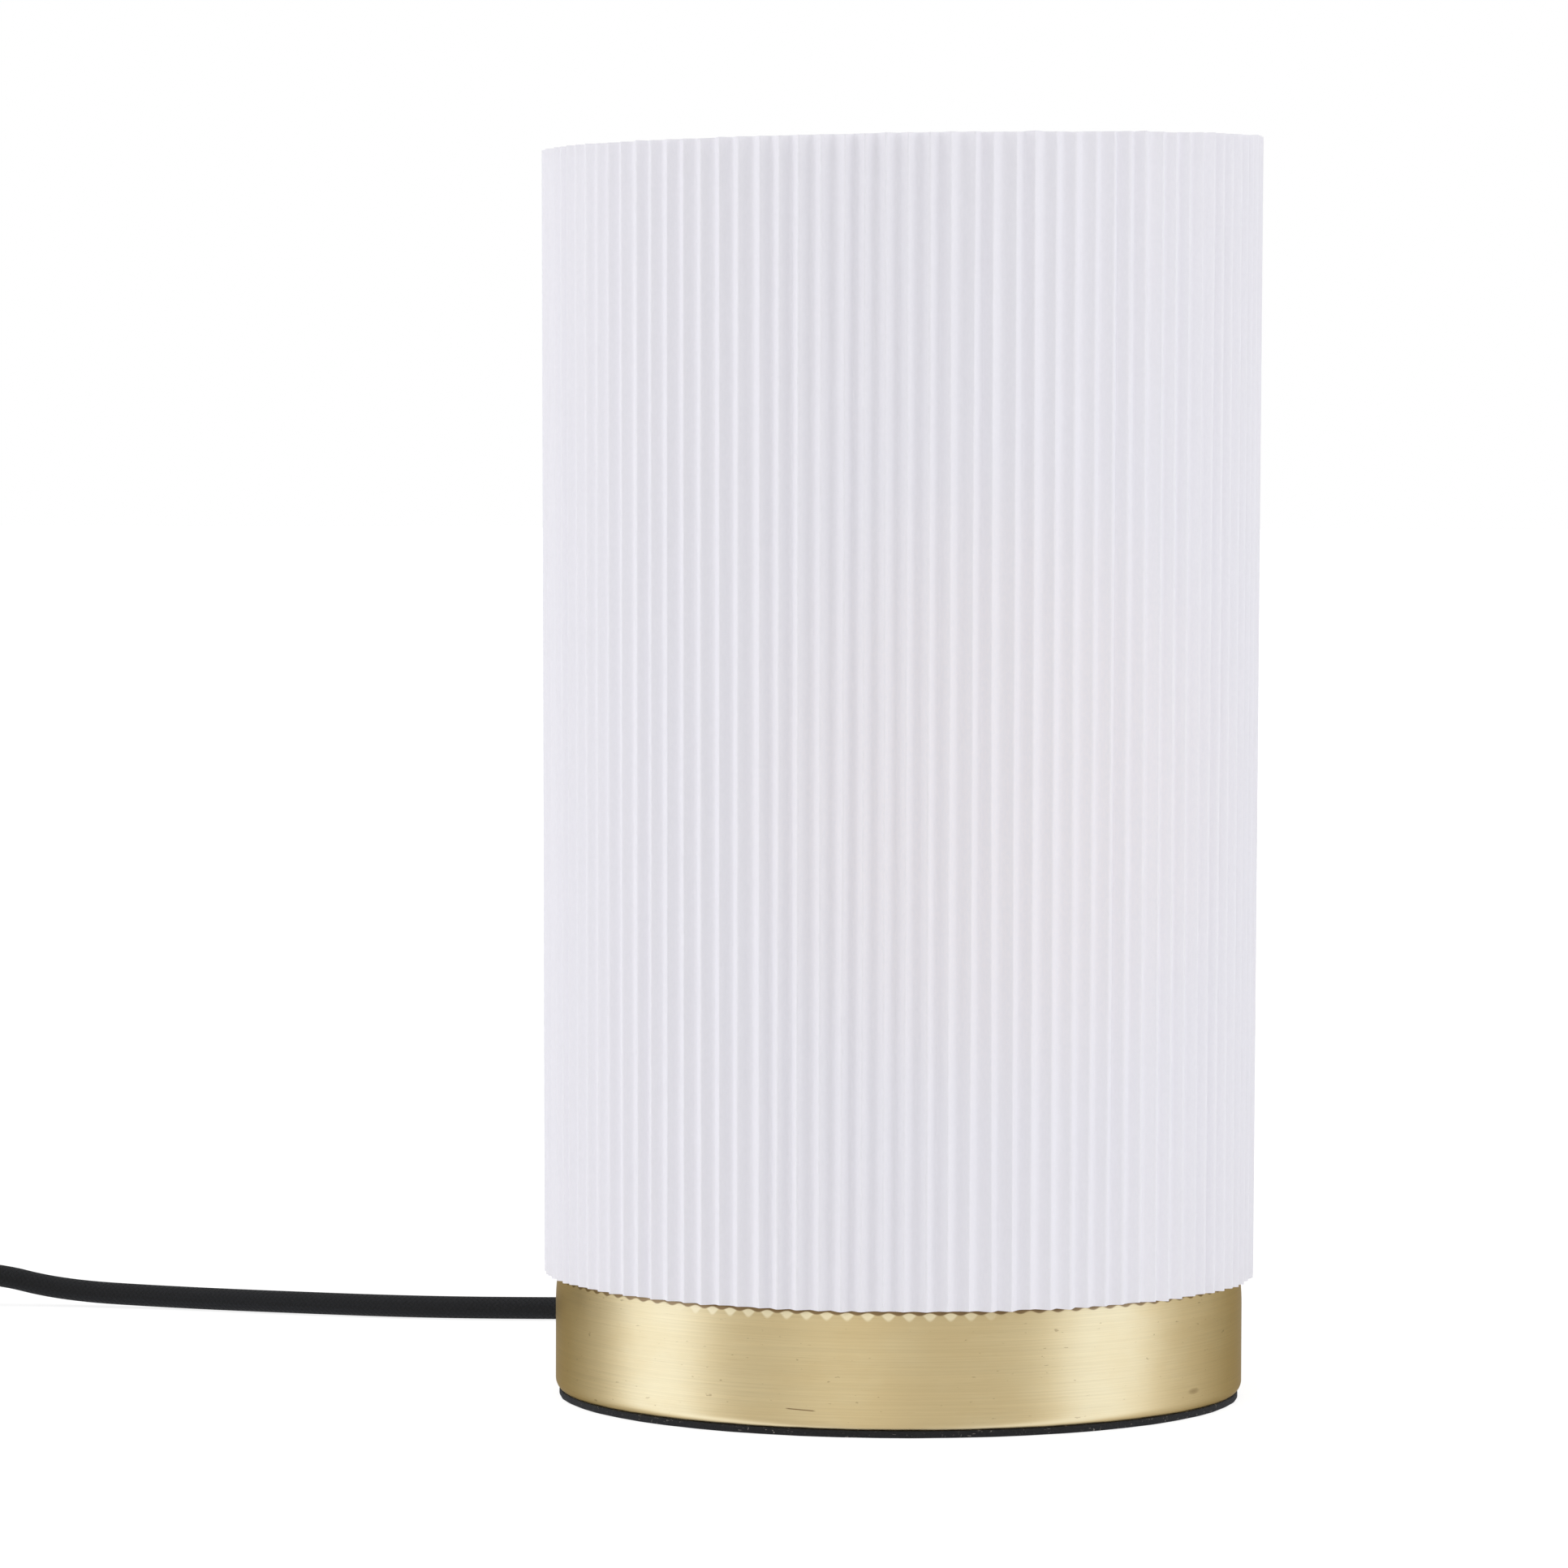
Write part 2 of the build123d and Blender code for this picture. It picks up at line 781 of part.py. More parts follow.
def bulb_globe():
    """Opal globe, a ball shell cut off at its mouth."""
    ball = Pos(0, 0, globe_centre) * (Sphere(globe_radius) - Sphere(globe_radius - globe_wall))
    return ball - disc(globe_radius + 1, globe_centre - globe_radius - 1, globe_mouth)


# ---------------------------------------------------------------- shade


def pleat_ring(height, growth, inset, spread):
    """Corners of the pleats at one height: two on each ridge, two in each valley."""
    ridge = shade_radius_bottom - inset
    valley = ridge - pleat_depth
    half_ridge = ridge_share / 2 - spread
    half_valley = valley_share / 2 + spread
    fold = [(-half_ridge, ridge), (half_ridge, ridge)]
    fold += [(0.5 - half_valley, valley), (0.5 + half_valley, valley)]
    ring = []
    for pleat in range(pleat_count):
        for share, radius in fold:
            angle = 2 * math.pi * (pleat + share) / pleat_count
            reach = radius * growth
            ring.append((reach * math.cos(angle), reach * math.sin(angle), height))
    return ring


def wall_faces(lower, upper):
    """Flat faces between two rings of corners."""
    faces = []
    for number in range(len(lower)):
        after = (number + 1) % len(lower)
        corners = (lower[number], lower[after], upper[after], upper[number])
        faces.append(Face(Wire.make_polygon(corners, close=True)))
    return faces


def shade_pleats():
    """Pleated paper skin: an outer and an inner wall of flat faces, closed at both rims."""
    spread = paper_wall * corner_thinning * pleat_count / (2 * math.pi * shade_radius_bottom)
    outer = [pleat_ring(shade_bottom, 1, 0, 0), pleat_ring(shade_top, shade_growth, 0, 0)]
    inner = [
        pleat_ring(shade_bottom, 1, paper_wall, spread),
        pleat_ring(shade_top, shade_growth, paper_wall, spread),
    ]
    faces = wall_faces(*outer) + wall_faces(*inner)
    for rim, hole in zip(outer, inner):
        outline = Wire.make_polygon(rim, close=True)
        faces.append(Face(outline, [Wire.make_polygon(hole, close=True)]))
    return Solid(Shell(faces))


def liner_radius(height):
    """Outer radius of the liner, just inside the pleats' valleys."""
    share = (height - shade_bottom) / shade_height
    growth = 1 + (shade_growth - 1) * share
    return (shade_radius_bottom - pleat_depth - paper_wall) * growth - glue_gap


def cone_shell(inset, wall, bottom, top, turn=360.0):
    """A thin tapered tube that follows the shade, or a strip of one."""
    outline = [
        (liner_radius(bottom) - inset, bottom),
        (liner_radius(top) - inset, top),
        (liner_radius(top) - inset - wall, top),
        (liner_radius(bottom) - inset - wall, bottom),
    ]
    return turned(outline, turn)


def shade_liner():
    return cone_shell(0, liner_wall, shade_bottom + liner_setback, shade_top - liner_setback)


def seam_tape():
    """Tape over the joint of the liner, inside, at the back."""
    bottom = drum_top + rest_ring_thickness + seam_tape_end_gap
    top = shade_top - top_wire_drop - top_wire - seam_tape_end_gap
    turn = math.degrees(seam_tape_width / liner_radius(bottom))
    strip = cone_shell(liner_wall + glue_gap, seam_tape_thickness, bottom, top, turn)
    return Rot(0, 0, 90 - turn / 2) * strip


def rest_ring():
    """Flat ring inside the liner that stands on the drum."""
    outer = liner_radius(drum_top) - liner_wall - slide_gap
    return annulus(outer, outer - rest_ring_width, drum_top, drum_top + rest_ring_thickness)


def top_ring():
    """Wire ring just inside the liner's upper edge."""
    height = shade_top - liner_setback - top_wire_drop - top_wire / 2
    reach = liner_radius(height) - liner_wall - slide_gap * 2 - top_wire / 2
    return Pos(0, 0, height) * Torus(reach, top_wire / 2)


# ---------------------------------------------------------------- inline switch


def switch_outline(inset):
    """Plan of the case: a bar with a tapered nose at each end."""
    half_length = switch_length / 2 - inset
    half_width = switch_width / 2 - inset
    half_nose = switch_nose_width / 2 - inset
    shoulder = switch_length / 2 - switch_nose_length
    right = [(half_length, -half_nose), (half_length, half_nose), (shoulder, half_width)]
    left = [(-x, -y) for x, y in right]
    return make_face(Polyline(*right, (-shoulder, half_width), *left, (shoulder, -half_width), close=True))


def case_bosses(bottom, top):
    x, y = case_screw_place
    boss = disc(case_boss_radius, bottom, top)
    return [Pos(side * x, side * y, 0) * boss for side in (-1, 1)]


def case_half(bottom, top, hollow_bottom, hollow_top):
    """One half of the case, hollow, with its screw bosses and its half of the cord channel."""
    body = extrude(Plane.XY.offset(bottom) * switch_outline(0), top - bottom)
    rounded = body.faces().sort_by(Axis.Z)[-1 if top == switch_height else 0].edges()
    body = fillet(rounded, switch_edge_round)
    inside = extrude(Plane.XY.offset(hollow_bottom) * switch_outline(switch_wall), hollow_top - hollow_bottom)
    body -= inside
    for boss in case_bosses(hollow_bottom, hollow_top):
        body += boss & inside
    reach = switch_length
    channel = rod((-reach, 0, switch_split), (reach, 0, switch_split), cord_radius + slide_gap)
    return body - channel


def switch_lower():
    body = case_half(0, switch_split, switch_wall, switch_split)
    x, y = case_screw_place
    hole = disc(case_screw_radius + slide_gap, 0, switch_split)
    hole += disc(case_screw_head + slide_gap, 0, case_head_height + case_head_sink)
    for side in (-1, 1):
        body -= Pos(side * x, side * y, 0) * hole
    return body


def switch_upper():
    body = case_half(switch_split, switch_height, switch_split, switch_height - switch_wall)
    x, y = case_screw_place
    top = case_head_sink + case_screw_length + hole_end_gap
    for side in (-1, 1):
        body -= Pos(side * x, side * y, 0) * disc(case_screw_radius + slide_gap, switch_split, top)
    half_window = rocker_length / 2 + rocker_gap
    half_width = rocker_width / 2 + rocker_gap
    window = block(-half_window, half_window, -half_width, half_width, switch_height - 3, switch_height + 1)
    ceiling = switch_height - switch_wall
    for side in (-1, 1):
        near = side * half_width
        far = side * (half_width + ear_thickness)
        floor = rocker_pivot_height - 2 * rocker_pin_radius
        body += block(-ear_width / 2, ear_width / 2, *sorted((near, far)), floor, ceiling)
    body -= window
    reach = rocker_width / 2 + rocker_pin_length + pin_end_gap
    height = rocker_pivot_height
    return body - rod((0, -reach, height), (0, reach, height), rocker_pin_radius + pivot_gap)


def at_rest(shape):
    """Tilts the rocker's pieces about their pivot, one side pressed down."""
    pivot = Pos(0, 0, rocker_pivot_height)
    return pivot * Rot(0, rocker_tilt, 0) * pivot.inverse() * shape


def switch_rocker():
    """Rocker cut from a round bar about its pivot, dished to both sides, with pivot pins."""
    half = rocker_width / 2
    reach = rocker_length / 2
    climb = reach * math.tan(math.radians(rocker_tilt))
    outline = [
        (-reach, -rocker_depth),
        (reach, -rocker_depth),
        (reach, rocker_rise + climb),
        (0, rocker_rise),
        (-reach, rocker_rise + climb),
    ]
    slab = extrude(Plane.XZ * make_face(Polyline(*outline, close=True)), half, both=True)
    bar = Rot(90, 0, 0) * Cylinder(reach, rocker_width)
    pins = Rot(90, 0, 0) * Cylinder(rocker_pin_radius, rocker_width + 2 * rocker_pin_length)
    side = rocker_leg / 2
    leg = block(-side, side, -side, side, -rocker_depth - rocker_leg_drop, -rocker_depth)
    body = (slab & bar) + pins + leg
    return at_rest(Pos(0, 0, rocker_pivot_height) * body)


def contact_bridge():
    """Brass bar under the rocker's leg that tilts onto the contacts."""
    top = rocker_pivot_height - rocker_depth - rocker_leg_drop
    half = bridge_length / 2
    width = bridge_width / 2
    return at_rest(block(-half, half, -width, width, top - bridge_thickness, top))


def switch_contacts():
    """Two fixed brass posts on the floor of the lower case."""
    half = contact_post_width / 2
    outside = bridge_length / 2
    inner = outside - contact_post_thickness
    post = block(inner, outside, -half, half, switch_wall, switch_wall + contact_post_height)
    foot_end = outside + contact_foot_length
    foot = block(outside, foot_end, -half, half, switch_wall, switch_wall + contact_foot_height)
    right = post + foot
    return together([right, Rot(0, 0, 180) * right])


def switch_leads():
    """The neutral core past the contacts, and the live core to each of them."""
    ends = switch_length / 2 - switch_stub
    level = switch_split
    side = lead_radius + slide_gap
    splay = ends - core_straight
    floor = switch_wall + lead_radius + core_clearance
    run = splay - core_splay
    through = [
        (ends, side, level),
        (splay, side, level),
        (run, core_side, floor),
        (-run, core_side, floor),
        (-splay, side, level),
        (-ends, side, level),
    ]
    neutral = tube(through, [core_bend] * 4, lead_radius)[0]
    on_foot = switch_wall + contact_foot_height + lead_radius
    live = [
        (ends, -side, level),
        (ends - live_straight, -side, level),
        (ends - live_straight - live_drop_length, -side, on_foot),
        (bridge_length / 2 + slide_gap, -side, on_foot),
    ]
    right = tube(live, [live_bend] * 2, lead_radius)[0]
    left = mirror(right, about=Plane.YZ)
    return together([neutral, right, left])


def switch_flex():
    """The cord's two ends inside the case, each up to where its cover is cut back."""
    outer = switch_length / 2
    inner = outer - switch_stub
    stub = rod((outer, 0, switch_split), (inner, 0, switch_split), cord_radius)
    return together([stub, Rot(0, 0, 180) * stub])


def case_screws():
    """Screws from below that close the case."""
    x, y = case_screw_place
    bottom = case_head_sink
    screw = disc(case_screw_head, bottom, bottom + case_head_height)
    screw += disc(case_screw_radius, bottom, bottom + case_screw_length)
    half = case_slot_width / 2
    screw -= block(-case_screw_head, case_screw_head, -half, half, bottom - 1, bottom + case_slot_depth)
    return together([Pos(side * x, side * y, 0) * screw for side in (-1, 1)])


# ---------------------------------------------------------------- plug


def plug_body():
    """Flat body that narrows to the boot, bored for the pins' roots."""
    half = plug_width / 2
    rear = plug_rear_width / 2
    outline = [
        (-half, 0),
        (half, 0),
        (half, plug_shoulder),
        (rear, plug_length),
        (-rear, plug_length),
        (-half, plug_shoulder),
    ]
    body = extrude(make_face(Polyline(*outline, close=True)), plug_height)
    level_edges = body.faces().sort_by(Axis.Z)[0].edges() + body.faces().sort_by(Axis.Z)[-1].edges()
    body = fillet(level_edges, plug_edge_round)
    middle = plug_height / 2
    for x in (-pin_spread / 2, pin_spread / 2):
        body -= rod((x, -1, middle), (x, pin_root_length, middle), pin_core_radius + slide_gap)
    return body - rod((0, plug_bore_start, middle), (0, plug_length + 1, middle), cord_radius + slide_gap)


def lie_back(shape):
    """Lays a body that was turned about Z along +Y at the plug's mid height."""
    return Pos(0, 0, plug_height / 2) * Rot(-90, 0, 0) * shape


def plug_boot():
    start = plug_length
    end = plug_length + plug_boot_length
    bore = cord_radius + slide_gap
    return lie_back(turned([(bore, start), (plug_boot_radius, start), (plug_boot_tip, end), (bore, end)]))


def plug_flex():
    """The cord's end inside the boot and the body."""
    return lie_back(disc(cord_radius, plug_bore_start, plug_length + plug_boot_length))


def plug_pins():
    """Round pins, thin inside their sleeves and full at their tips."""
    tip_end = -pin_sleeve_length - pin_tip_length
    shaft = lie_back(disc(pin_core_radius, -pin_sleeve_length, pin_root_length))
    tip = lie_back(disc(pin_radius, tip_end, -pin_sleeve_length))
    tip = fillet(tip.faces().sort_by(Axis.Y)[0].edges(), pin_tip_round)
    pin = shaft + tip
    return together([Pos(x, 0, 0) * pin for x in (-pin_spread / 2, pin_spread / 2)])


def pin_sleeves():
    sleeve = lie_back(annulus(pin_sleeve_radius, pin_core_radius + slide_gap, -pin_sleeve_length, 0))
    return together([Pos(x, 0, 0) * sleeve for x in (-pin_spread / 2, pin_spread / 2)])


def cord_coil():
    """Closed ring with the outer shape of the wound turns."""
    half_band = coil_pitch * (coil_turns_across - 1) / 2 + cord_radius
    top = cord_floor + coil_pitch * (coil_layers - 1) + cord_radius
    ring = annulus(coil_middle_radius + half_band, coil_middle_radius - half_band, cord_floor_gap, top)
    return Pos(*coil_centre, 0) * fillet(ring.edges().filter_by(GeomType.CIRCLE), coil_edge_round)


def main():
    os.makedirs("parts", exist_ok=True)
    save("foot_pad", pad())
    save("bottom_plate", plate())
    save("plate_screws", plate_screws())
    save("base_drum", drum())
    save("ballast", ballast())
    save("threaded_nipple", nipple())
    save("lock_nut", lock_nut())
    save("lock_washer", lock_washer())
    save("seat_washer", seat_washer())
    save("cord_saddle", cord_saddle())
    save("saddle_screws", saddle_screws())
    save("strain_relief", strain_relief())
    save("flex_inner", flex_inner())
    save("live_lead", lead(-1))
    save("neutral_lead", lead(1))
    save("holder_cap", holder_cap())
    save("holder_shell", holder_shell())
    save("holder_core", holder_core())
    save("terminal_blocks", terminal_blocks())
    save("terminal_screws", terminal_screws())
    save("contact_rivets", contact_rivets())
    save("centre_contact", centre_contact())
    save("screw_sleeve", screw_sleeve())
    save("bulb_tip", bulb_tip())
    save("bulb_insulator", bulb_insulator())
    save("bulb_screw_cap", bulb_screw_cap())
    save("bulb_housing", bulb_housing())
    save("driver_board", driver_board())
    save("light_board", light_board())
    save("light_chips", light_chips())
    save("bulb_globe", bulb_globe())
    save("shade_pleats", shade_pleats())
    save("shade_liner", shade_liner())
    save("seam_tape", seam_tape())
    save("rest_ring", rest_ring())
    save("top_ring", top_ring())
    save("cord_to_switch", cord_tube("cord_to_switch", route_to_switch))
    save("cord_to_coil", cord_tube("cord_to_coil", route_to_coil))
    save("cord_coil", cord_coil())
    save("cord_to_plug", cord_tube("cord_to_plug", route_to_plug))
    switch = Pos(*switch_place, 0)
    save("switch_lower", switch * switch_lower())
    save("switch_upper", switch * switch_upper())
    save("switch_rocker", switch * switch_rocker())
    save("contact_bridge", switch * contact_bridge())
    save("switch_contacts", switch * switch_contacts())
    save("switch_flex", switch * switch_flex())
    save("switch_leads", switch * switch_leads())
    save("case_screws", switch * case_screws())
    plug = Pos(*plug_place, 0)
    save("plug_body", plug * plug_body())
    save("plug_boot", plug * plug_boot())
    save("plug_flex", plug * plug_flex())
    save("plug_pins", plug * plug_pins())
    save("pin_sleeves", plug * pin_sleeves())


main()
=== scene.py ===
import math

import bmesh
import bpy
import numpy as np
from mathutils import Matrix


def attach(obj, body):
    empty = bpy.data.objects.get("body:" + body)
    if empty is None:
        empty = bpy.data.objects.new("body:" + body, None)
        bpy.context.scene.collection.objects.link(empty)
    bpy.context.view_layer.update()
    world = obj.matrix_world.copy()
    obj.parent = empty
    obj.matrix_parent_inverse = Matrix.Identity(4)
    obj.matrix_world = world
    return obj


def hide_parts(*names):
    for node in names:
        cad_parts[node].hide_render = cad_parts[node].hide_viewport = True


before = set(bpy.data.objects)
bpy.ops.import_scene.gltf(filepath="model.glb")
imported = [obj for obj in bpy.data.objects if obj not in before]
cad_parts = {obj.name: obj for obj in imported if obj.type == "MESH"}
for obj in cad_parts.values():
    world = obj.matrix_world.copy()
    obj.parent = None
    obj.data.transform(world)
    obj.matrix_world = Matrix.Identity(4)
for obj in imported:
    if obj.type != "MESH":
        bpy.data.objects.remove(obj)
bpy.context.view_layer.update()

bl_info = {
    "name": "Pleated paper table lamp",
    "version": (1, 0, 0),
    "blender": (4, 5, 0),
    "location": "3D View > Sidebar > Lamp",
    "description": "Dresses the frame of a table lamp with a pleated paper shade and a brass drum",
    "category": "Object",
}

MM = 0.001
UP = np.array([0.0, 0.0, 1.0])

# ---- sizes that the dressed pieces share with the frame, in millimetres
PAD_RADIUS = 68.0
PAD_THICKNESS = 1.4
DRUM_TOP = 28.0
DRUM_WALL = 0.9
DRUM_RADIUS = 68.7
DRUM_MOUTH = 67.117
FOOT_ARC = 2.4
FOOT_LEVEL = 3.413
SHOULDER_ARC = 39.0
SHOULDER_LEVEL = 18.849
RIM_ARC = 2.5
RIM_CENTRE = (65.589, 25.5)
NIPPLE_HOLE = 5.0
SHADE_BOTTOM = 24.55
SHADE_TOP = 250.0
SHADE_RADIUS = 71.0
SHADE_GROWTH = 0.8 / 71.0
PLEATS = 108
PLEAT_DEPTH = 1.35
PAPER_WALL = 0.35
LINER_WALL = 0.6
GLUE_GAP = 0.15
WIRE_GAP = 0.1
WIRE_RADIUS = 1.5
WIRE_DROP = 2.75
CORD_RADIUS = 2.4
CORD_LEVEL = 7.5
PLUG_LEVEL = 7.0
PLUG_LINE = -365.6
FLEX_BORE = 2.45
CAP_BOTTOM = 29.5
CAP_TOP = 47.5
HOLDER_TOP = 78.0
HOLDER_RADIUS = 19.5
SHELL_BORE = 17.5
CAP_RECESS = 17.25
CORE_BORE = 15.4
HOLDER_MOUTH = 14.4
TIP_BOTTOM = 55.3
INSULATOR_BOTTOM = 57.1
SCREW_CAP_BOTTOM = 60.7
SCREW_CAP_TOP = 82.48
SCREW_CAP_BORE = 11.75
SCREW_CAP_SEAT = 10.4
THREAD_CREST = 13.1
THREAD_PITCH = 3.63
HOUSING_ROOT = 13.4
HOUSING_WALL = 1.5
GLOBE_MOUTH = 112.3
GLOBE_MOUTH_RADIUS = 22.36
GLOBE_CENTRE = 132.3
GLOBE_RADIUS = 30.0
GLOBE_DROP = 20.0
GLOBE_WALL = 1.2
COIL_CENTRE = (-330.0, 109.9)

# ---- routes of the free cord, the frame's own points
ROUTE_TO_SWITCH = [
    (0.0, 86.7, 7.5),
    (0.0, 101.8, 7.5),
    (-7.6, 115.0, 5.3),
    (-20.8, 122.4, 3.2),
    (-40.0, 122.3, 2.5),
    (-71.0, 120.6, 2.5),
    (-101.0, 122.2, 2.5),
    (-130.0, 130.4, 2.5),
    (-157.0, 139.5, 2.5),
    (-182.0, 144.6, 3.4),
    (-198.0, 145.0, 7.5),
    (-212.0, 145.0, 7.5),
]
ROUTE_TO_COIL = [
    (-274.0, 145.0, 7.5),
    (-286.0, 145.0, 7.5),
    (-300.0, 144.7, 4.6),
    (-315.0, 145.1, 2.7),
]
ROUTE_TO_PLUG = [
    (-365.6, 94.9, 7.0),
    (-365.6, 80.0, 7.0),
]
COIL_RADII = (35.9, 30.95, 26.0, 21.05)
COIL_LEVELS = (2.5, 7.4)
COIL_TURNS = 8.25
POINTS_PER_TURN = 16
TIE_ANGLE = math.radians(300)

# ---- marks on the drum: level of the shade's edge, where the painted shadow and painted reflections sit, and places (x, z) of a scratch and a smudge, in metres
EDGE_LINE = 0.02385
SCRATCH = (-0.0198, 0.0052)
SMUDGE = (0.0572, 0.0054)

# ---- bands of light: azimuth of the middle, where the band ends and where it is full, in radians
LEFT_BAND = (-1.54, 0.56, 0.14)
RIGHT_BAND = (1.28, 0.57, 0.15)
FRONT_BAND = (-0.33, 0.45, 0.1)

# ---- which piece of the frame wears which finish
FINISH_OF = {
    "bottom_plate": "zinc_steel",
    "plate_screws": "zinc_steel",
    "ballast": "iron",
    "threaded_nipple": "zinc_steel",
    "lock_nut": "zinc_steel",
    "lock_washer": "zinc_steel",
    "seat_washer": "zinc_steel",
    "cord_saddle": "black_plastic",
    "saddle_screws": "zinc_steel",
    "flex_inner": "braid",
    "live_lead": "brown_core",
    "neutral_lead": "blue_core",
    "holder_core": "ceramic",
    "terminal_blocks": "contact_brass",
    "terminal_screws": "zinc_steel",
    "contact_rivets": "contact_brass",
    "centre_contact": "contact_brass",
    "screw_sleeve": "contact_brass",
    "driver_board": "board_green",
    "light_board": "board_white",
    "light_chips": "phosphor",
    "seam_tape": "seam_tape",
    "rest_ring": "white_steel",
    "contact_bridge": "contact_brass",
    "switch_contacts": "contact_brass",
    "switch_flex": "braid",
    "switch_leads": "brown_core",
    "case_screws": "zinc_steel",
    "plug_flex": "braid",
    "plug_pins": "cap_metal",
    "pin_sleeves": "black_plastic",
}

# ---- finishes of one colour: what plain_finish takes
PLAIN_FINISHES = {
    "white_steel": dict(
        tint=(0.82, 0.82, 0.81), roughness=0.42, relief=0.03, mottle=0.03, coat=0.2
    ),
    "zinc_steel": dict(
        tint=(0.55, 0.56, 0.58), roughness=0.36, metallic=1.0, grain=1400.0, mottle=0.1
    ),
    "iron": dict(
        tint=(0.06, 0.06, 0.062), roughness=0.62, metallic=0.4, grain=500.0,
        mottle=0.25, relief=0.12
    ),
    "brown_core": dict(tint=(0.12, 0.045, 0.02), roughness=0.42, relief=0.006),
    "blue_core": dict(tint=(0.02, 0.08, 0.34), roughness=0.42, relief=0.006),
    "ceramic": dict(tint=(0.78, 0.76, 0.71), roughness=0.3, mottle=0.04, relief=0.01, coat=0.3),
    "contact_brass": dict(
        tint=(0.78, 0.6, 0.27), roughness=0.27, metallic=1.0, grain=1600.0, mottle=0.08
    ),
    "cap_metal": dict(
        tint=(0.68, 0.67, 0.64), roughness=0.24, metallic=1.0, grain=1800.0, mottle=0.06
    ),
    "black_insulator": dict(tint=(0.012, 0.012, 0.016), roughness=0.1, relief=0.01, coat=0.5),
    "board_green": dict(tint=(0.02, 0.16, 0.06), roughness=0.4, mottle=0.2, coat=0.4),
    "board_white": dict(tint=(0.8, 0.8, 0.79), roughness=0.4, mottle=0.04),
    "phosphor": dict(tint=(0.82, 0.6, 0.08), roughness=0.4, mottle=0.06),
}


# ---------------------------------------------------------------- shader expressions


class Term:
    """A shader socket in a Python expression. Each operator adds one Math node."""

    def __init__(self, recipe, socket):
        self.recipe = recipe
        self.socket = socket

    def math(self, operation, *terms):
        return self.recipe.add("ShaderNodeMath", {"operation": operation}, dict(enumerate(terms)))

    def __add__(self, other):
        return self.math("ADD", self, other)

    def __sub__(self, other):
        return self.math("SUBTRACT", self, other)

    def __rsub__(self, other):
        return self.math("SUBTRACT", other, self)

    def __mul__(self, other):
        return self.math("MULTIPLY", self, other)

    def __truediv__(self, other):
        return self.math("DIVIDE", self, other)

    def __pow__(self, other):
        return self.math("POWER", self, other)

    def __abs__(self):
        return self.math("ABSOLUTE", self)

    __radd__ = __add__
    __rmul__ = __mul__

    def sine(self):
        return self.math("SINE", self)

    def most(self, other):
        return self.math("MAXIMUM", self, other)

    def step(self, start, end):
        """0 below start, 1 above end, smooth between; the other way round when start > end."""
        settings = {"interpolation_type": "SMOOTHSTEP", "clamp": True}
        low, high, first, last = (start, end, 0.0, 1.0) if start < end else (end, start, 1.0, 0.0)
        inputs = {0: self, 1: low, 2: high, 3: first, 4: last}
        return self.recipe.add("ShaderNodeMapRange", settings, inputs)


class Recipe:
    """A node tree and the ways to add nodes to it."""

    def __init__(self, tree):
        self.tree = tree
        tree.nodes.clear()

    def add(self, kind, settings=None, inputs=None, output=0):
        """One node: its settings, then the values or links of its sockets. Gives one output."""
        node = self.tree.nodes.new(kind)
        for name, value in (settings or {}).items():
            setattr(node, name, value)
        for name, value in (inputs or {}).items():
            if isinstance(value, Term):
                self.tree.links.new(value.socket, node.inputs[name])
            else:
                node.inputs[name].default_value = value
        return Term(self, node.outputs[output]) if node.outputs else node

    def place(self):
        return self.add("ShaderNodeTexCoord", output="Object")

    def axes(self, vector):
        """The three numbers of a vector."""
        parts = range(3)
        return [self.add("ShaderNodeSeparateXYZ", None, {0: vector}, part) for part in parts]

    def joined(self, x, y, z):
        return self.add("ShaderNodeCombineXYZ", None, {0: x, 1: y, 2: z})

    def stretched(self, vector, factors):
        """The vector times three factors."""
        return self.add("ShaderNodeVectorMath", {"operation": "MULTIPLY"}, {0: vector, 1: factors})

    def azimuth(self, x, y):
        """The angle of a place or direction about +Z: 0 in front, negative on the left."""
        return self.add("ShaderNodeMath", {"operation": "ARCTAN2"}, {0: x, 1: y * -1.0})

    def noise(self, vector, scale, detail=3.0, roughness=0.5):
        inputs = {"Vector": vector, "Scale": scale, "Detail": detail, "Roughness": roughness}
        return self.add("ShaderNodeTexNoise", None, inputs)

    def blend(self, share, first, second):
        """The first colour at share 0 and the second at share 1."""
        settings = {"data_type": "RGBA", "clamp_factor": True}
        return self.add("ShaderNodeMix", settings, {0: share, 6: first, 7: second}, 2)

    def bump(self, height, distance, strength=1.0, under=None):
        inputs = {"Height": height, "Distance": distance, "Strength": strength}
        if under is not None:
            inputs["Normal"] = under
        return self.add("ShaderNodeBump", None, inputs)

    def surface(self, **inputs):
        """The piece's shader, with socket names written with underscores, joined to the output."""
        named = {name.replace("_", " "): value for name, value in inputs.items()}
        shader = self.add("ShaderNodeBsdfPrincipled", None, named)
        self.add("ShaderNodeOutputMaterial", None, {"Surface": shader})
        return shader


def colour(values, gain=1.0):
    """A colour property, brightened or darkened, with full alpha."""
    return (values[0] * gain, values[1] * gain, values[2] * gain, 1.0)


def dulled(values, red, green, blue):
    """A colour property with each of its parts lowered by its own share."""
    return (values[0] * red, values[1] * green, values[2] * blue, 1.0)


def new_finish(name):
    material = bpy.data.materials.new(name)
    material.use_nodes = True
    return material, Recipe(material.node_tree)


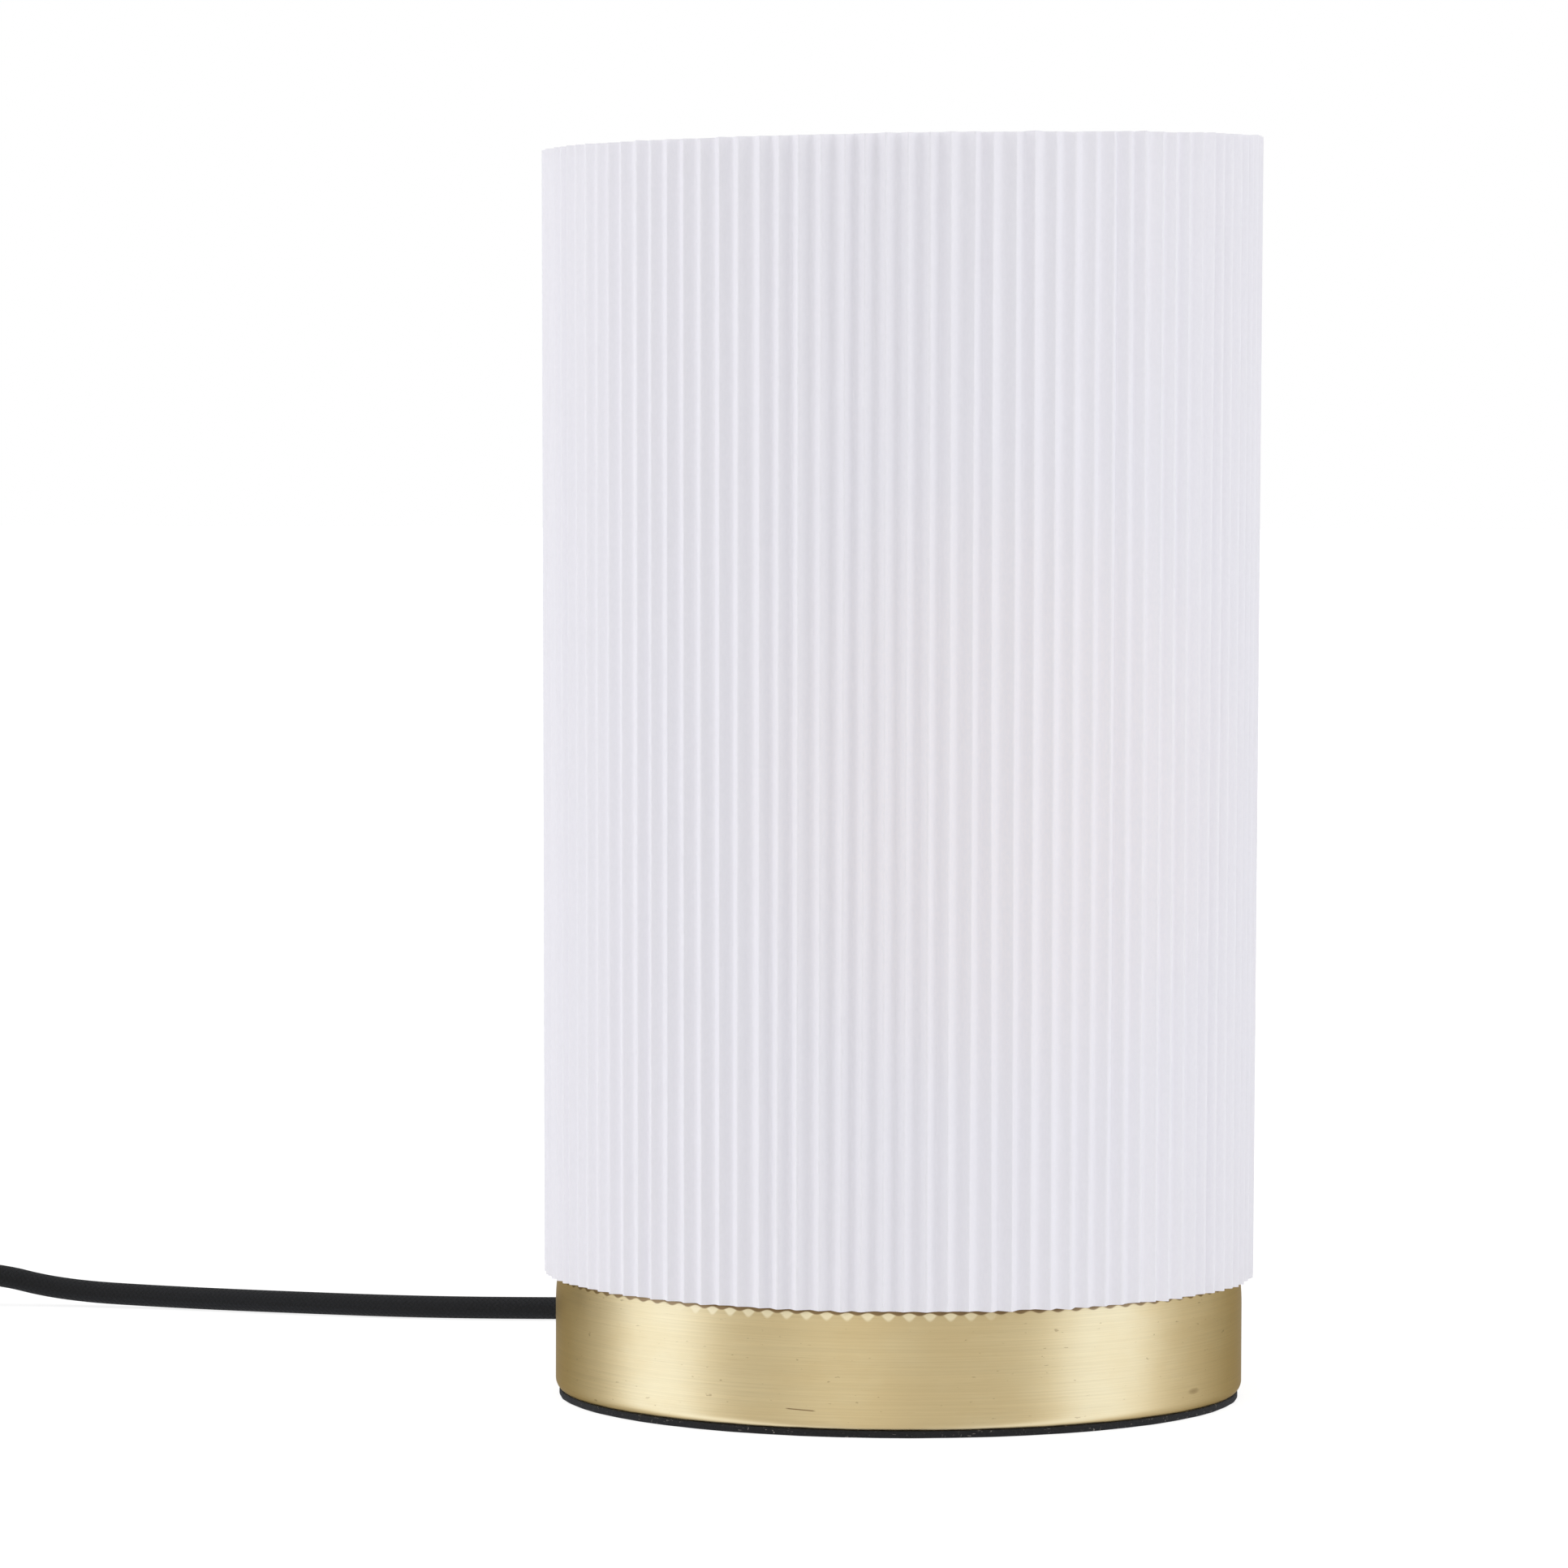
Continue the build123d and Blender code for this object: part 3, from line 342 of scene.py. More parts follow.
def plain_finish(
    name, tint, roughness, metallic=0.0, grain=900.0, mottle=0.12, relief=0.02, coat=0.0
):
    """A moulded, cast or plated finish: two sizes of colour variation, uneven gloss, fine grain."""
    material, recipe = new_finish(name)
    place = recipe.place()
    broad = recipe.noise(place, 45.0, 3.0)
    fine = recipe.noise(place, grain, 2.0, 0.6)
    shift = (broad * 0.6 + fine * 0.4).step(0.25, 0.75)
    tone = recipe.blend(shift, colour(tint, 1 - mottle), colour(tint, 1 + mottle))
    recipe.surface(
        Base_Color=tone,
        Roughness=roughness * 0.85 + broad * (roughness * 0.3),
        Metallic=metallic,
        Coat_Weight=coat,
        Normal=recipe.bump(fine, relief * MM, 0.6),
    )
    return material


# ---------------------------------------------------------------- surfaces


def skin(name, grid, wrap_rows=False, uv=None, sharp=35.0):
    """Mesh through a grid of points, rows by columns, in metres. Point (i, j) joins (i, j + 1),
    (i + 1, j + 1) and (i + 1, j); columns close on themselves, rows too when wrap_rows is set.
    The sum of the faces' signed volumes tells which way round they face, and a negative one
    turns them. Rows drawn together in one point become a pole."""
    rows, columns = grid.shape[:2]
    row = np.arange(rows if wrap_rows else rows - 1)[:, None]
    column = np.arange(columns)[None, :]
    here = row * columns
    above = (row + 1) % rows * columns
    ahead = (column + 1) % columns
    corners = np.stack([here + column, here + ahead, above + ahead, above + column], -1)
    corners = corners.reshape(-1, 4)
    points = grid.reshape(-1, 3)
    a, b, c, d = (points[corners[:, number]] for number in range(4))
    volume = np.sum(a * np.cross(b, c)) + np.sum(a * np.cross(c, d))
    mesh = bpy.data.meshes.new(name)
    order = [0, 1, 2, 3] if volume > 0 else [3, 2, 1, 0]
    mesh.from_pydata(points.tolist(), [], corners[:, order].tolist())
    if uv is not None:
        across, along = uv
        u = np.stack([across[column], across[column + 1], across[column + 1], across[column]], -1)
        v = np.stack([along[row], along[row], along[row + 1], along[row + 1]], -1)
        u, v = np.broadcast_arrays(u, v)
        pairs = np.stack([u.reshape(-1, 4)[:, order], v.reshape(-1, 4)[:, order]], -1)
        mesh.uv_layers.new(name="along").data.foreach_set("uv", pairs.astype(np.float32).ravel())
    work = bmesh.new()
    work.from_mesh(mesh)
    bmesh.ops.remove_doubles(work, verts=work.verts, dist=1e-7)
    work.to_mesh(mesh)
    work.free()
    return placed(name, mesh, sharp)


def placed(name, mesh, sharp=35.0):
    """The mesh as a shaded piece at the origin, sharp where faces meet at more than the angle."""
    mesh.polygons.foreach_set("use_smooth", [True] * len(mesh.polygons))
    mesh.set_sharp_from_angle(angle=math.radians(sharp))
    piece = bpy.data.objects.new(name, mesh)
    bpy.context.scene.collection.objects.link(piece)
    return piece


def eased(corners, radius, steps=4, closed=True):
    """A polyline whose corners are rounded: each corner gives way to a parabola between the two
    points that lie the radius, or 0.45 of the shorter side, before and after it."""
    points = np.array(corners, float)
    before = np.roll(points, 1, 0) - points
    after = np.roll(points, -1, 0) - points
    reach_in = np.linalg.norm(before, axis=1)
    reach_out = np.linalg.norm(after, axis=1)
    cut = np.minimum(radius, 0.45 * np.minimum(reach_in, reach_out))
    start = points + before * (cut / reach_in)[:, None]
    end = points + after * (cut / reach_out)[:, None]
    t = np.linspace(0, 1, steps + 1)[None, :, None]
    arcs = (1 - t) ** 2 * start[:, None] + 2 * t * (1 - t) * points[:, None] + t**2 * end[:, None]
    if closed:
        return arcs.reshape(-1, points.shape[1])
    return np.concatenate([points[:1], arcs[1:-1].reshape(-1, points.shape[1]), points[-1:]])


def arc(centre, radius, start, end, steps):
    """Points on a circle between two angles in degrees: centre + radius (cos, sin)."""
    angle = np.radians(np.linspace(start, end, steps))
    return np.stack([centre[0] + radius * np.cos(angle), centre[1] + radius * np.sin(angle)], -1)


def turned(radius, angle, height):
    """Points by angle about +Z, in millimetres: (r cos a, r sin a, h)."""
    return np.stack([radius * np.cos(angle), radius * np.sin(angle), height], -1)


def around(profile, sides, radial=None):
    """A profile of (radius, height) turned about +Z, in metres. The radial function adds to the
    radius by angle and height, for ribs and threads."""
    angle = np.linspace(0, 2 * np.pi, sides, endpoint=False)[None, :]
    radius = profile[:, 0][:, None]
    height = profile[:, 1][:, None] + 0 * angle
    if radial is not None:
        radius = radius + radial(angle, height, radius + 0 * angle)
    return turned(radius, angle, height) * MM


def laid_back(grid, x, level):
    """A turned form laid along +Y: (x, y, z) becomes (x, z, -y), at a line's place and level."""
    return np.stack([grid[..., 0] + x * MM, grid[..., 2], level * MM - grid[..., 1]], -1)


def smooth(value):
    """The smoothstep of a number from 0 to 1: 3v^2 - 2v^3, held at both ends."""
    held = np.clip(value, 0, 1)
    return held * held * (3 - 2 * held)


def curve_points(name, route):
    """Points of a NURBS spline of order 3 that has the route, in metres, as its control points."""
    curve = bpy.data.curves.new(name, "CURVE")
    curve.dimensions = "3D"
    spline = curve.splines.new("NURBS")
    spline.points.add(len(route) - 1)
    spline.points.foreach_set("co", np.c_[route, np.ones(len(route))].ravel())
    spline.order_u = 3
    spline.use_endpoint_u = True
    spline.resolution_u = 9
    carrier = bpy.data.objects.new(name, curve)
    line = bpy.data.meshes.new_from_object(carrier)
    points = np.zeros(len(line.vertices) * 3)
    line.vertices.foreach_get("co", points)
    bpy.data.objects.remove(carrier)
    bpy.data.curves.remove(curve)
    bpy.data.meshes.remove(line)
    return points.reshape(-1, 3)


def tube(name, path, radius, sides=20):
    """A round tube along a path that stays near the level: side = ahead x up, lift = side x ahead,
    point = path + r (side cos a + lift sin a). Its ends draw in to a pole. UV is the share of the
    way round and the metres along."""
    ahead = np.gradient(path, axis=0)
    ahead /= np.linalg.norm(ahead, axis=1)[:, None]
    side = np.cross(ahead, UP)
    side /= np.linalg.norm(side, axis=1)[:, None]
    lift = np.cross(side, ahead)
    angle = np.linspace(0, 2 * np.pi, sides, endpoint=False)
    cosine, sine = np.cos(angle)[None, :, None], np.sin(angle)[None, :, None]
    grid = path[:, None] + radius * (side[:, None] * cosine + lift[:, None] * sine)
    start = np.repeat(path[:1, None], sides, 1)
    end = np.repeat(path[-1:, None], sides, 1)
    run = np.r_[0, np.cumsum(np.linalg.norm(np.diff(path, axis=0), axis=1))]
    along = np.r_[run[0], run, run[-1]]
    return skin(name, np.concatenate([start, grid, end]), uv=(np.linspace(0, 1, sides + 1), along))


def softened(name, node, width):
    """A copy of a frame piece with softer edges: its triangles are merged and flat ones joined, and
    every edge that turns by more than 25 degrees is rounded in three steps."""
    work = bmesh.new()
    work.from_mesh(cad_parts[node].data)
    bmesh.ops.remove_doubles(work, verts=work.verts, dist=1e-6)
    bmesh.ops.dissolve_limit(work, angle_limit=math.radians(2), verts=work.verts, edges=work.edges)
    turning = math.radians(25)
    edges = [edge for edge in work.edges if edge.is_manifold and edge.calc_face_angle() > turning]
    rounding = {"offset": width, "segments": 3, "profile": 0.5, "affect": "EDGES"}
    bmesh.ops.bevel(work, geom=edges, clamp_overlap=True, **rounding)
    mesh = bpy.data.meshes.new(name)
    work.to_mesh(mesh)
    work.free()
    return placed(name, mesh)


def settle(piece, body, slot, *nodes):
    """Gives a finished piece its slot's finish, its body and the frame's pieces it stands for."""
    piece.data.materials.clear()
    piece.data.materials.append(finish(slot))
    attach(piece, body)
    if nodes:
        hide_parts(*nodes)
    return piece


# ---------------------------------------------------------------- settings


def tint_property(name, description, default):
    return bpy.props.FloatVectorProperty(
        name=name, description=description, default=default, subtype="COLOR", min=0, max=1
    )


def size_property(name, description, default, low, high):
    return bpy.props.FloatProperty(
        name=name,
        description=description,
        default=default,
        min=low,
        max=high,
        unit="LENGTH",
        precision=5,
    )


def share_property(name, description, default):
    return bpy.props.FloatProperty(
        name=name, description=description, default=default, min=0, max=1, subtype="FACTOR"
    )


def angle_property(name, description, default):
    return bpy.props.FloatProperty(
        name=name, description=description, default=default, subtype="ANGLE"
    )


class LampStageSettings(bpy.types.PropertyGroup):
    """Camera, floor and light."""

    camera_place: bpy.props.FloatVectorProperty(
        name="Camera place",
        description="Where the camera stands",
        default=(-0.02343, -1.5, 0.19506),
        subtype="TRANSLATION",
        unit="LENGTH",
    )
    camera_pitch: angle_property("Camera pitch", "How far the camera looks down", 0.0485)
    camera_roll: angle_property("Camera roll", "How far the camera leans to the right", -0.0026)
    lens: bpy.props.FloatProperty(
        name="Lens", description="Focal length in millimetres", default=172.45, min=10, max=400
    )
    floor_tint: tint_property("Floor", "Colour of the floor", (0.80, 0.80, 0.80))
    floor_white: share_property("Floor white", "How white the floor is seen", 0.82)
    even_light: share_property("Even light", "Strength of the light from all round", 0.585)
    even_glow: share_property("Even glow", "The same as polished metal shows it", 0.77)
    left_light: share_property("Left light", "What the soft band on the left adds", 0.66)
    right_light: share_property("Right light", "What the soft band on the right adds", 0.56)
    front_light: share_property("Front light", "What the soft band in front adds", 0.16)


class LampShadeSettings(bpy.types.PropertyGroup):
    """The pleated skin and what it is glued to."""

    ridge_share: share_property("Ridge width", "Share of a pleat that its ridge takes", 0.14)
    top_slope: size_property("Top slope", "Rise of the upper cut", 0.00143, 0, 0.002)
    unevenness: size_property("Unevenness", "How far a pleat strays", 0.00016, 0, 0.0005)
    paper_tint: tint_property("Paper", "Colour of the paper", (0.865, 0.855, 0.905))
    blush_tint: tint_property("Blush", "Colour of the warmer patch", (0.885, 0.855, 0.885))
    liner_tint: tint_property("Liner", "Colour of the film", (0.86, 0.86, 0.84))


class LampBaseSettings(bpy.types.PropertyGroup):
    """The brass drum and its pad."""

    brass_tint: tint_property("Brass", "Colour of the brass", (0.70, 0.565, 0.315))
    brushing: share_property("Brushing", "Strength of the brushed streaks", 0.5)
    pad_tint: tint_property("Pad", "Colour of the pad", (0.0085, 0.008, 0.008))
    fleck_tint: tint_property("Flecks", "Colour of the pad's fibres", (0.32, 0.29, 0.26))


class LampFlexSettings(bpy.types.PropertyGroup):
    """The cord, its braid and its boots."""

    braid_tint: tint_property("Braid", "Colour of the braided cover", (0.0062, 0.0062, 0.0064))
    strands: bpy.props.IntProperty(
        name="Strands", description="Braid strands that wind each way", default=12, min=4, max=32
    )
    plait: size_property("Plait", "Length in which a strand goes round", 0.0135, 0.004, 0.05)
    plastic_tint: tint_property("Plastic", "Colour of boots and switch", (0.022, 0.022, 0.023))


class LampBulbSettings(bpy.types.PropertyGroup):
    """The bulb and its holder."""

    globe_tint: tint_property("Globe", "Colour of the opal globe", (0.88, 0.875, 0.86))
    housing_tint: tint_property("Housing", "Colour of the housing", (0.84, 0.84, 0.83))
    thread_depth: size_property("Thread depth", "Depth of the thread", 0.0009, 0, 0.0015)
    ribs: bpy.props.IntProperty(
        name="Ribs", description="Grip ribs round the lampholder", default=48, min=0, max=120
    )


# ---------------------------------------------------------------- special finishes


def paper_finish(settings):
    """Uncoated paper: faint, mostly upright fibres, a warm patch at mid height, soft cockles."""
    material, recipe = new_finish("pleated_paper")
    place = recipe.place()
    x, y, z = recipe.axes(place)
    fibres = recipe.noise(recipe.stretched(place, (1.0, 1.0, 0.35)), 2600.0, 3.0, 0.6)
    clouds = recipe.noise(recipe.stretched(place, (1.0, 1.0, 0.3)), 60.0, 2.0)
    across = (x - 0.018) / 0.045
    down = (z - 0.125) / 0.055
    spot = (across * across + down * down).step(1.6, 0.0) * y.step(0.0, -0.03)
    tint = settings.paper_tint
    tone = recipe.blend(spot * 0.8 + clouds * 0.2, colour(tint), colour(settings.blush_tint))
    tone = recipe.blend(fibres.step(0.35, 0.65) * 0.5, tone, colour(tint, 0.965))
    grain = recipe.bump(fibres, 0.012 * MM, 0.5)
    recipe.surface(
        Base_Color=tone,
        Roughness=0.78 + fibres * 0.12,
        IOR=1.4,
        Normal=recipe.bump(clouds, 0.05 * MM, 0.4, grain),
    )
    return material


def film_finish(settings):
    """White plastic film: smooth, faintly streaked along its height."""
    material, recipe = new_finish("liner_film")
    place = recipe.place()
    streaks = recipe.noise(recipe.stretched(place, (1.0, 1.0, 0.12)), 500.0, 3.0)
    tint = settings.liner_tint
    tone = recipe.blend(streaks, colour(tint, 0.95), colour(tint, 1.02))
    recipe.surface(
        Base_Color=tone,
        Roughness=0.38 + streaks * 0.12,
        Normal=recipe.bump(streaks, 0.01 * MM, 0.5),
    )
    return material


def tape_finish():
    """White cloth tape with a fine square weave."""
    material, recipe = new_finish("seam_tape")
    x, _, z = recipe.axes(recipe.place())
    threads = 9000.0
    warp = (x * threads).sine()
    weft = (z * threads).sine()
    weave = (warp * weft).step(-0.6, 0.6)
    recipe.surface(
        Base_Color=recipe.blend(weave, (0.74, 0.73, 0.7, 1), (0.85, 0.85, 0.82, 1)),
        Roughness=0.75 + weave * 0.1,
        Normal=recipe.bump(weave, 0.03 * MM, 0.6),
    )
    return material


def brass_finish(settings):
    """Satin brass brushed round the drum. Noise that hardly changes with x and y but quickly with
    height, or on the top with the radius, gives the streaks, and broad noise the handling marks.
    Under the shade's edge runs a painted shadow, a dark line that rises and falls with the sine of
    pleats x angle; below it, in front, hang painted reflections of the pleats' lower ends, bright
    teeth which narrow downwards: (1 + sine) / 2 less the depth."""
    material, recipe = new_finish("brushed_brass")
    place = recipe.place()
    x, y, z = recipe.axes(place)
    radius = (x * x + y * y) ** 0.5
    spun = recipe.joined(x * 22.0, y * 22.0, (z - radius) * 3800.0)
    streaks = recipe.noise(spun, 1.0, 4.0, 0.65)
    combs = recipe.joined(x * 110.0, y * 110.0, (z - radius) * 9000.0)
    short = recipe.noise(combs, 1.0, 2.0, 0.6)
    clouds = recipe.noise(recipe.stretched(place, (1.0, 1.0, 2.5)), 26.0, 4.0, 0.6)
    patches = recipe.noise(recipe.stretched(place, (1.0, 1.0, 1.7)), 48.0, 4.0, 0.62)
    pits = recipe.noise(recipe.stretched(place, (0.55, 0.55, 1.6)), 900.0, 2.0).step(0.7, 0.76)
    dashes = short.step(0.62, 0.74)
    foot = z.step(0.0026, 0.0014)
    front = y.step(0.0, -0.01)
    scratch = abs(z - SCRATCH[1] + (x - SCRATCH[0]) * 0.05).step(0.00017, 0.00003)
    scratch = scratch * abs(x - SCRATCH[0]).step(0.0031, 0.0022) * front
    blot = ((x - SMUDGE[0]) / 0.0015) ** 2.0 + ((z - SMUDGE[1]) / 0.0008) ** 2.0
    smudge = (blot + clouds * 0.6).step(1.3, 0.2) * front
    wear = (scratch * 0.85).most(smudge * 0.5)
    angle = recipe.azimuth(x, y)
    ripple = (angle * PLEATS).sine()
    edge = z - EDGE_LINE - ripple * 0.00025
    depth = (EDGE_LINE - 0.00015 - z) / 0.0014
    # painted reflection: bright teeth below the shade's edge, in front only, stand for the pleats'
    # lower ends mirrored in the brass
    teeth = (ripple * 0.5 + 0.5 - depth).step(0.0, 0.5) * edge.step(0.0001, -0.0001)
    painted_reflection = teeth * angle.step(-0.72, -0.5) * angle.step(0.34, 0.12)
    # painted shadow: a dark line, wavy with the pleats, just under the shade's edge
    shadow = edge.step(-0.00012, 0.0002) * (radius - 0.06).step(0.004, 0.0055)
    tint = settings.brass_tint
    tone = recipe.blend(streaks.step(0.3, 0.7), colour(tint, 0.95), colour(tint, 1.05))
    tone = recipe.blend(patches.step(0.36, 0.64) * 0.4, tone, dulled(tint, 0.94, 0.88, 0.78))
    tone = recipe.blend(dashes * 0.3 + foot * 0.2, tone, dulled(tint, 0.62, 0.54, 0.46))
    tone = recipe.blend(pits * 0.5, tone, (0.3, 0.21, 0.11, 1))
    # cream colour of the painted reflection
    tone = recipe.blend(painted_reflection * 0.8, tone, (0.99, 0.88, 0.6, 1))
    # one dark brown for the painted shadow line and for the real scratch and smudge
    tone = recipe.blend((shadow * 0.8).most(wear), tone, (0.17, 0.09, 0.035, 1))
    rough = 0.25 + clouds * 0.08 + streaks * 0.04 + wear * 0.2
    combed = recipe.bump(streaks, 0.006 * MM, settings.brushing)
    recipe.surface(
        Base_Color=tone,
        Roughness=rough,
        Metallic=1.0,
        Specular_Tint=(0.86, 0.7, 0.42, 1.0),
        Anisotropic=0.35,
        Anisotropic_Rotation=0.25,
        Coat_Weight=0.05,
        Coat_Roughness=0.32,
        Normal=recipe.bump(short, 0.003 * MM, settings.brushing, combed),
    )
    return material


def pad_finish(settings):
    """Dark pressed fibre: a rough nap with short pale hairs that lie all ways."""
    material, recipe = new_finish("foot_pad")
    place = recipe.place()
    nap = recipe.noise(place, 2200.0, 4.0, 0.7)
    along = recipe.noise(recipe.stretched(place, (1.0, 1.0, 7.0)), 620.0, 3.0, 0.6)
    upright = recipe.noise(recipe.stretched(place, (6.0, 6.0, 1.0)), 300.0, 3.0, 0.6)
    specks = recipe.noise(recipe.stretched(place, (1.0, 1.0, 0.8)), 1500.0, 2.0, 0.6)
    dust = specks.step(0.66, 0.72) * recipe.noise(place, 130.0, 3.0).step(0.42, 0.6)
    hairs = along.step(0.655, 0.69).most(upright.step(0.69, 0.72) * 0.7).most(dust)
    tint = settings.pad_tint
    tone = recipe.blend(nap.step(0.3, 0.7), colour(tint, 0.6), colour(tint, 1.7))
    tone = recipe.blend(hairs * 0.75, tone, colour(settings.fleck_tint))
    recipe.surface(
        Base_Color=tone,
        Roughness=0.88 + nap * 0.1,
        Normal=recipe.bump(nap + hairs * 0.5, 0.12 * MM, 0.9),
    )
    return material


def braid_finish(settings):
    """Braided textile: strands wind both ways round the cord, and the one on top changes like a
    chess board. Strand number = strands x way round + or - strands x way along / plait."""
    material, recipe = new_finish("braid")
    u, v, _ = recipe.axes(recipe.add("ShaderNodeUVMap", {"uv_map": "along"}))
    turns = v / settings.plait
    half = math.pi * settings.strands
    one = ((u + turns) * half).sine()
    other = ((u - turns) * half).sine()
    ridge_one = abs(one) ** 0.6
    ridge_other = abs(other) ** 0.6
    checks = (one * other).step(-0.12, 0.12)
    height = ridge_one * checks + ridge_other * (1 - checks)
    fuzz = recipe.noise(recipe.joined(u * 60.0, v * 4000.0, 0.0), 1.0, 3.0, 0.6)
    tint = settings.braid_tint
    # painted shade: lighter on the strands' crests, darker in the grooves between them; the fuzz
    # adds random tone
    tone = recipe.blend(height * 0.8 + fuzz * 0.2, colour(tint, 0.45), colour(tint, 1.5))
    recipe.surface(
        Base_Color=tone,
        Roughness=0.62 + fuzz * 0.2,
        IOR=1.36,
        Sheen_Weight=0.03,
        Sheen_Roughness=0.4,
        Normal=recipe.bump(height + fuzz * 0.25, 0.14 * MM, 0.9),
    )
    return material


def opal_finish(name, tint):
    """Frosted opal plastic: milky, with a soft skin gloss."""
    material, recipe = new_finish(name)
    place = recipe.place()
    frost = recipe.noise(place, 1500.0, 2.0)
    milk = recipe.noise(place, 40.0, 2.0)
    recipe.surface(
        Base_Color=recipe.blend(milk, colour(tint, 0.97), colour(tint, 1.02)),
        Roughness=0.34 + frost * 0.08,
        Subsurface_Weight=0.35,
        Subsurface_Scale=0.004,
        Normal=recipe.bump(frost, 0.004 * MM, 0.5),
    )
    return material


def finish(slot):
    """The material of a slot, made once."""
    known = bpy.data.materials.get(slot)
    if known is not None and known.get("lamp_finish"):
        return known
    if known is not None:
        known.name = slot + "_frame"
    scene = bpy.context.scene
    plastic = scene.lamp_flex.plastic_tint
    makers = {
        "pleated_paper": lambda: paper_finish(scene.lamp_shade),
        "liner_film": lambda: film_finish(scene.lamp_shade),
        "seam_tape": tape_finish,
        "brushed_brass": lambda: brass_finish(scene.lamp_base),
        "foot_pad": lambda: pad_finish(scene.lamp_base),
        "braid": lambda: braid_finish(scene.lamp_flex),
        "opal": lambda: opal_finish("opal", scene.lamp_bulb.globe_tint),
        "white_plastic": lambda: opal_finish("white_plastic", scene.lamp_bulb.housing_tint),
        "black_plastic": lambda: plain_finish(slot, plastic, 0.5, relief=0.03, grain=1600.0),
        "rocker_black": lambda: plain_finish(slot, plastic, 0.32, relief=0.008, grain=2200.0),
    }
    if slot in PLAIN_FINISHES:
        material = plain_finish(slot, **PLAIN_FINISHES[slot])
    else:
        material = makers[slot]()
    material["lamp_finish"] = True
    return material


# ---------------------------------------------------------------- operators


class LampOperator:
    """What the lamp's operators share."""

    bl_options = {"REGISTER", "UNDO"}

    def execute(self, context):
        self.build(context.scene)
        return {"FINISHED"}


class LAMP_OT_stage(LampOperator, bpy.types.Operator):
    """Camera, floor and sky, which is all the light there is"""

    bl_idname = "lamp.stage"
    bl_label = "Stage"

    def build(self, scene):
        settings = scene.lamp_stage
        data = bpy.data.cameras.new("camera")
        data.sensor_width = 36.0
        data.lens = settings.lens
        data.clip_start = 0.05
        data.clip_end = 40.0
        camera = bpy.data.objects.new("camera", data)
        camera.location = settings.camera_place
        camera.rotation_euler = (math.pi / 2 - settings.camera_pitch, settings.camera_roll, 0)
        scene.collection.objects.link(camera)
        scene.camera = camera
        scene.view_settings.view_transform = "Standard"
        self.floor(scene, settings)
        self.sky(scene, settings)

    def floor(self, scene, settings):
        """A wide level square. To the camera it is nearly white with the lamp's soft shadow on it;
        metal shows the sky's own level there, and what falls on the lamp from it is its plain
        colour's light."""
        half = 12.0
        corners = [(-half, -half, 0), (half, -half, 0), (half, half, 0), (-half, half, 0)]
        mesh = bpy.data.meshes.new("floor")
        mesh.from_pydata(corners, [], [(0, 1, 2, 3)])
        floor = bpy.data.objects.new("floor", mesh)
        floor.location.z = -0.00005
        scene.collection.objects.link(floor)
        material, recipe = new_finish("floor")
        seen, mirrored = self.seen(recipe)
        inputs = {"Base Color": colour(settings.floor_tint), "Roughness": 0.3}
        plain = recipe.add("ShaderNodeBsdfPrincipled", None, inputs)
        faint = recipe.add("ShaderNodeBsdfDiffuse", None, {"Color": colour((0.28, 0.28, 0.28))})
        glow = {"Color": (1, 1, 1, 1), "Strength": settings.floor_white}
        white = recipe.add("ShaderNodeEmission", None, glow)
        pale = recipe.add("ShaderNodeAddShader", None, {0: faint, 1: white})
        clear = recipe.add("ShaderNodeBsdfTransparent")
        lit = recipe.add("ShaderNodeMixShader", None, {0: seen, 1: plain, 2: pale})
        mixed = recipe.add("ShaderNodeMixShader", None, {0: mirrored, 1: lit, 2: clear})
        recipe.add("ShaderNodeOutputMaterial", None, {"Surface": mixed})
        mesh.materials.append(material)

    def seen(self, recipe):
        """1 for rays of the camera or through glass, and 1 for rays mirrored in metal."""
        camera = recipe.add("ShaderNodeLightPath", output="Is Camera Ray")
        through = recipe.add("ShaderNodeLightPath", output="Is Transmission Ray")
        return camera.most(through), recipe.add("ShaderNodeLightPath", output="Is Glossy Ray")

    def sky(self, scene, settings):
        """White behind the lamp; as light, an even level with three soft upright bands. Azimuth =
        atan2(x, -y), 0 in front of the lamp and negative on its left; each band is a smoothstep of
        the azimuth's distance from its middle, and the level falls towards the rear."""
        world = bpy.data.worlds.new("sky")
        scene.world = world
        world.use_nodes = True
        recipe = Recipe(world.node_tree)
        x, y, z = recipe.axes(recipe.add("ShaderNodeTexCoord", output="Generated"))
        azimuth = recipe.azimuth(x, y)
        left, right, front = (
            abs(azimuth - middle).step(end, full)
            for middle, end, full in (LEFT_BAND, RIGHT_BAND, FRONT_BAND)
        )
        bands = left * settings.left_light + right * settings.right_light
        bands = bands + front * settings.front_light
        rear = abs(azimuth).step(1.75, 2.6) * abs(z).step(0.8, 0.4)
        falling = bands * 2.25 + front * 0.6 + right * 0.3 + settings.even_light
        glow = (bands + settings.even_glow) * (1 - rear * 0.5)
        seen, mirrored = self.seen(recipe)
        level = falling + (glow - falling) * mirrored
        level = level + (1 - level) * seen
        core = left.most(right) ** 2.0
        tint = recipe.blend(core * mirrored, (1.0, 1.0, 1.0, 1.0), (1.0, 1.13, 1.45, 1.0))
        light = recipe.add("ShaderNodeBackground", None, {"Color": tint, "Strength": level})
        recipe.add("ShaderNodeOutputWorld", None, {"Surface": light})


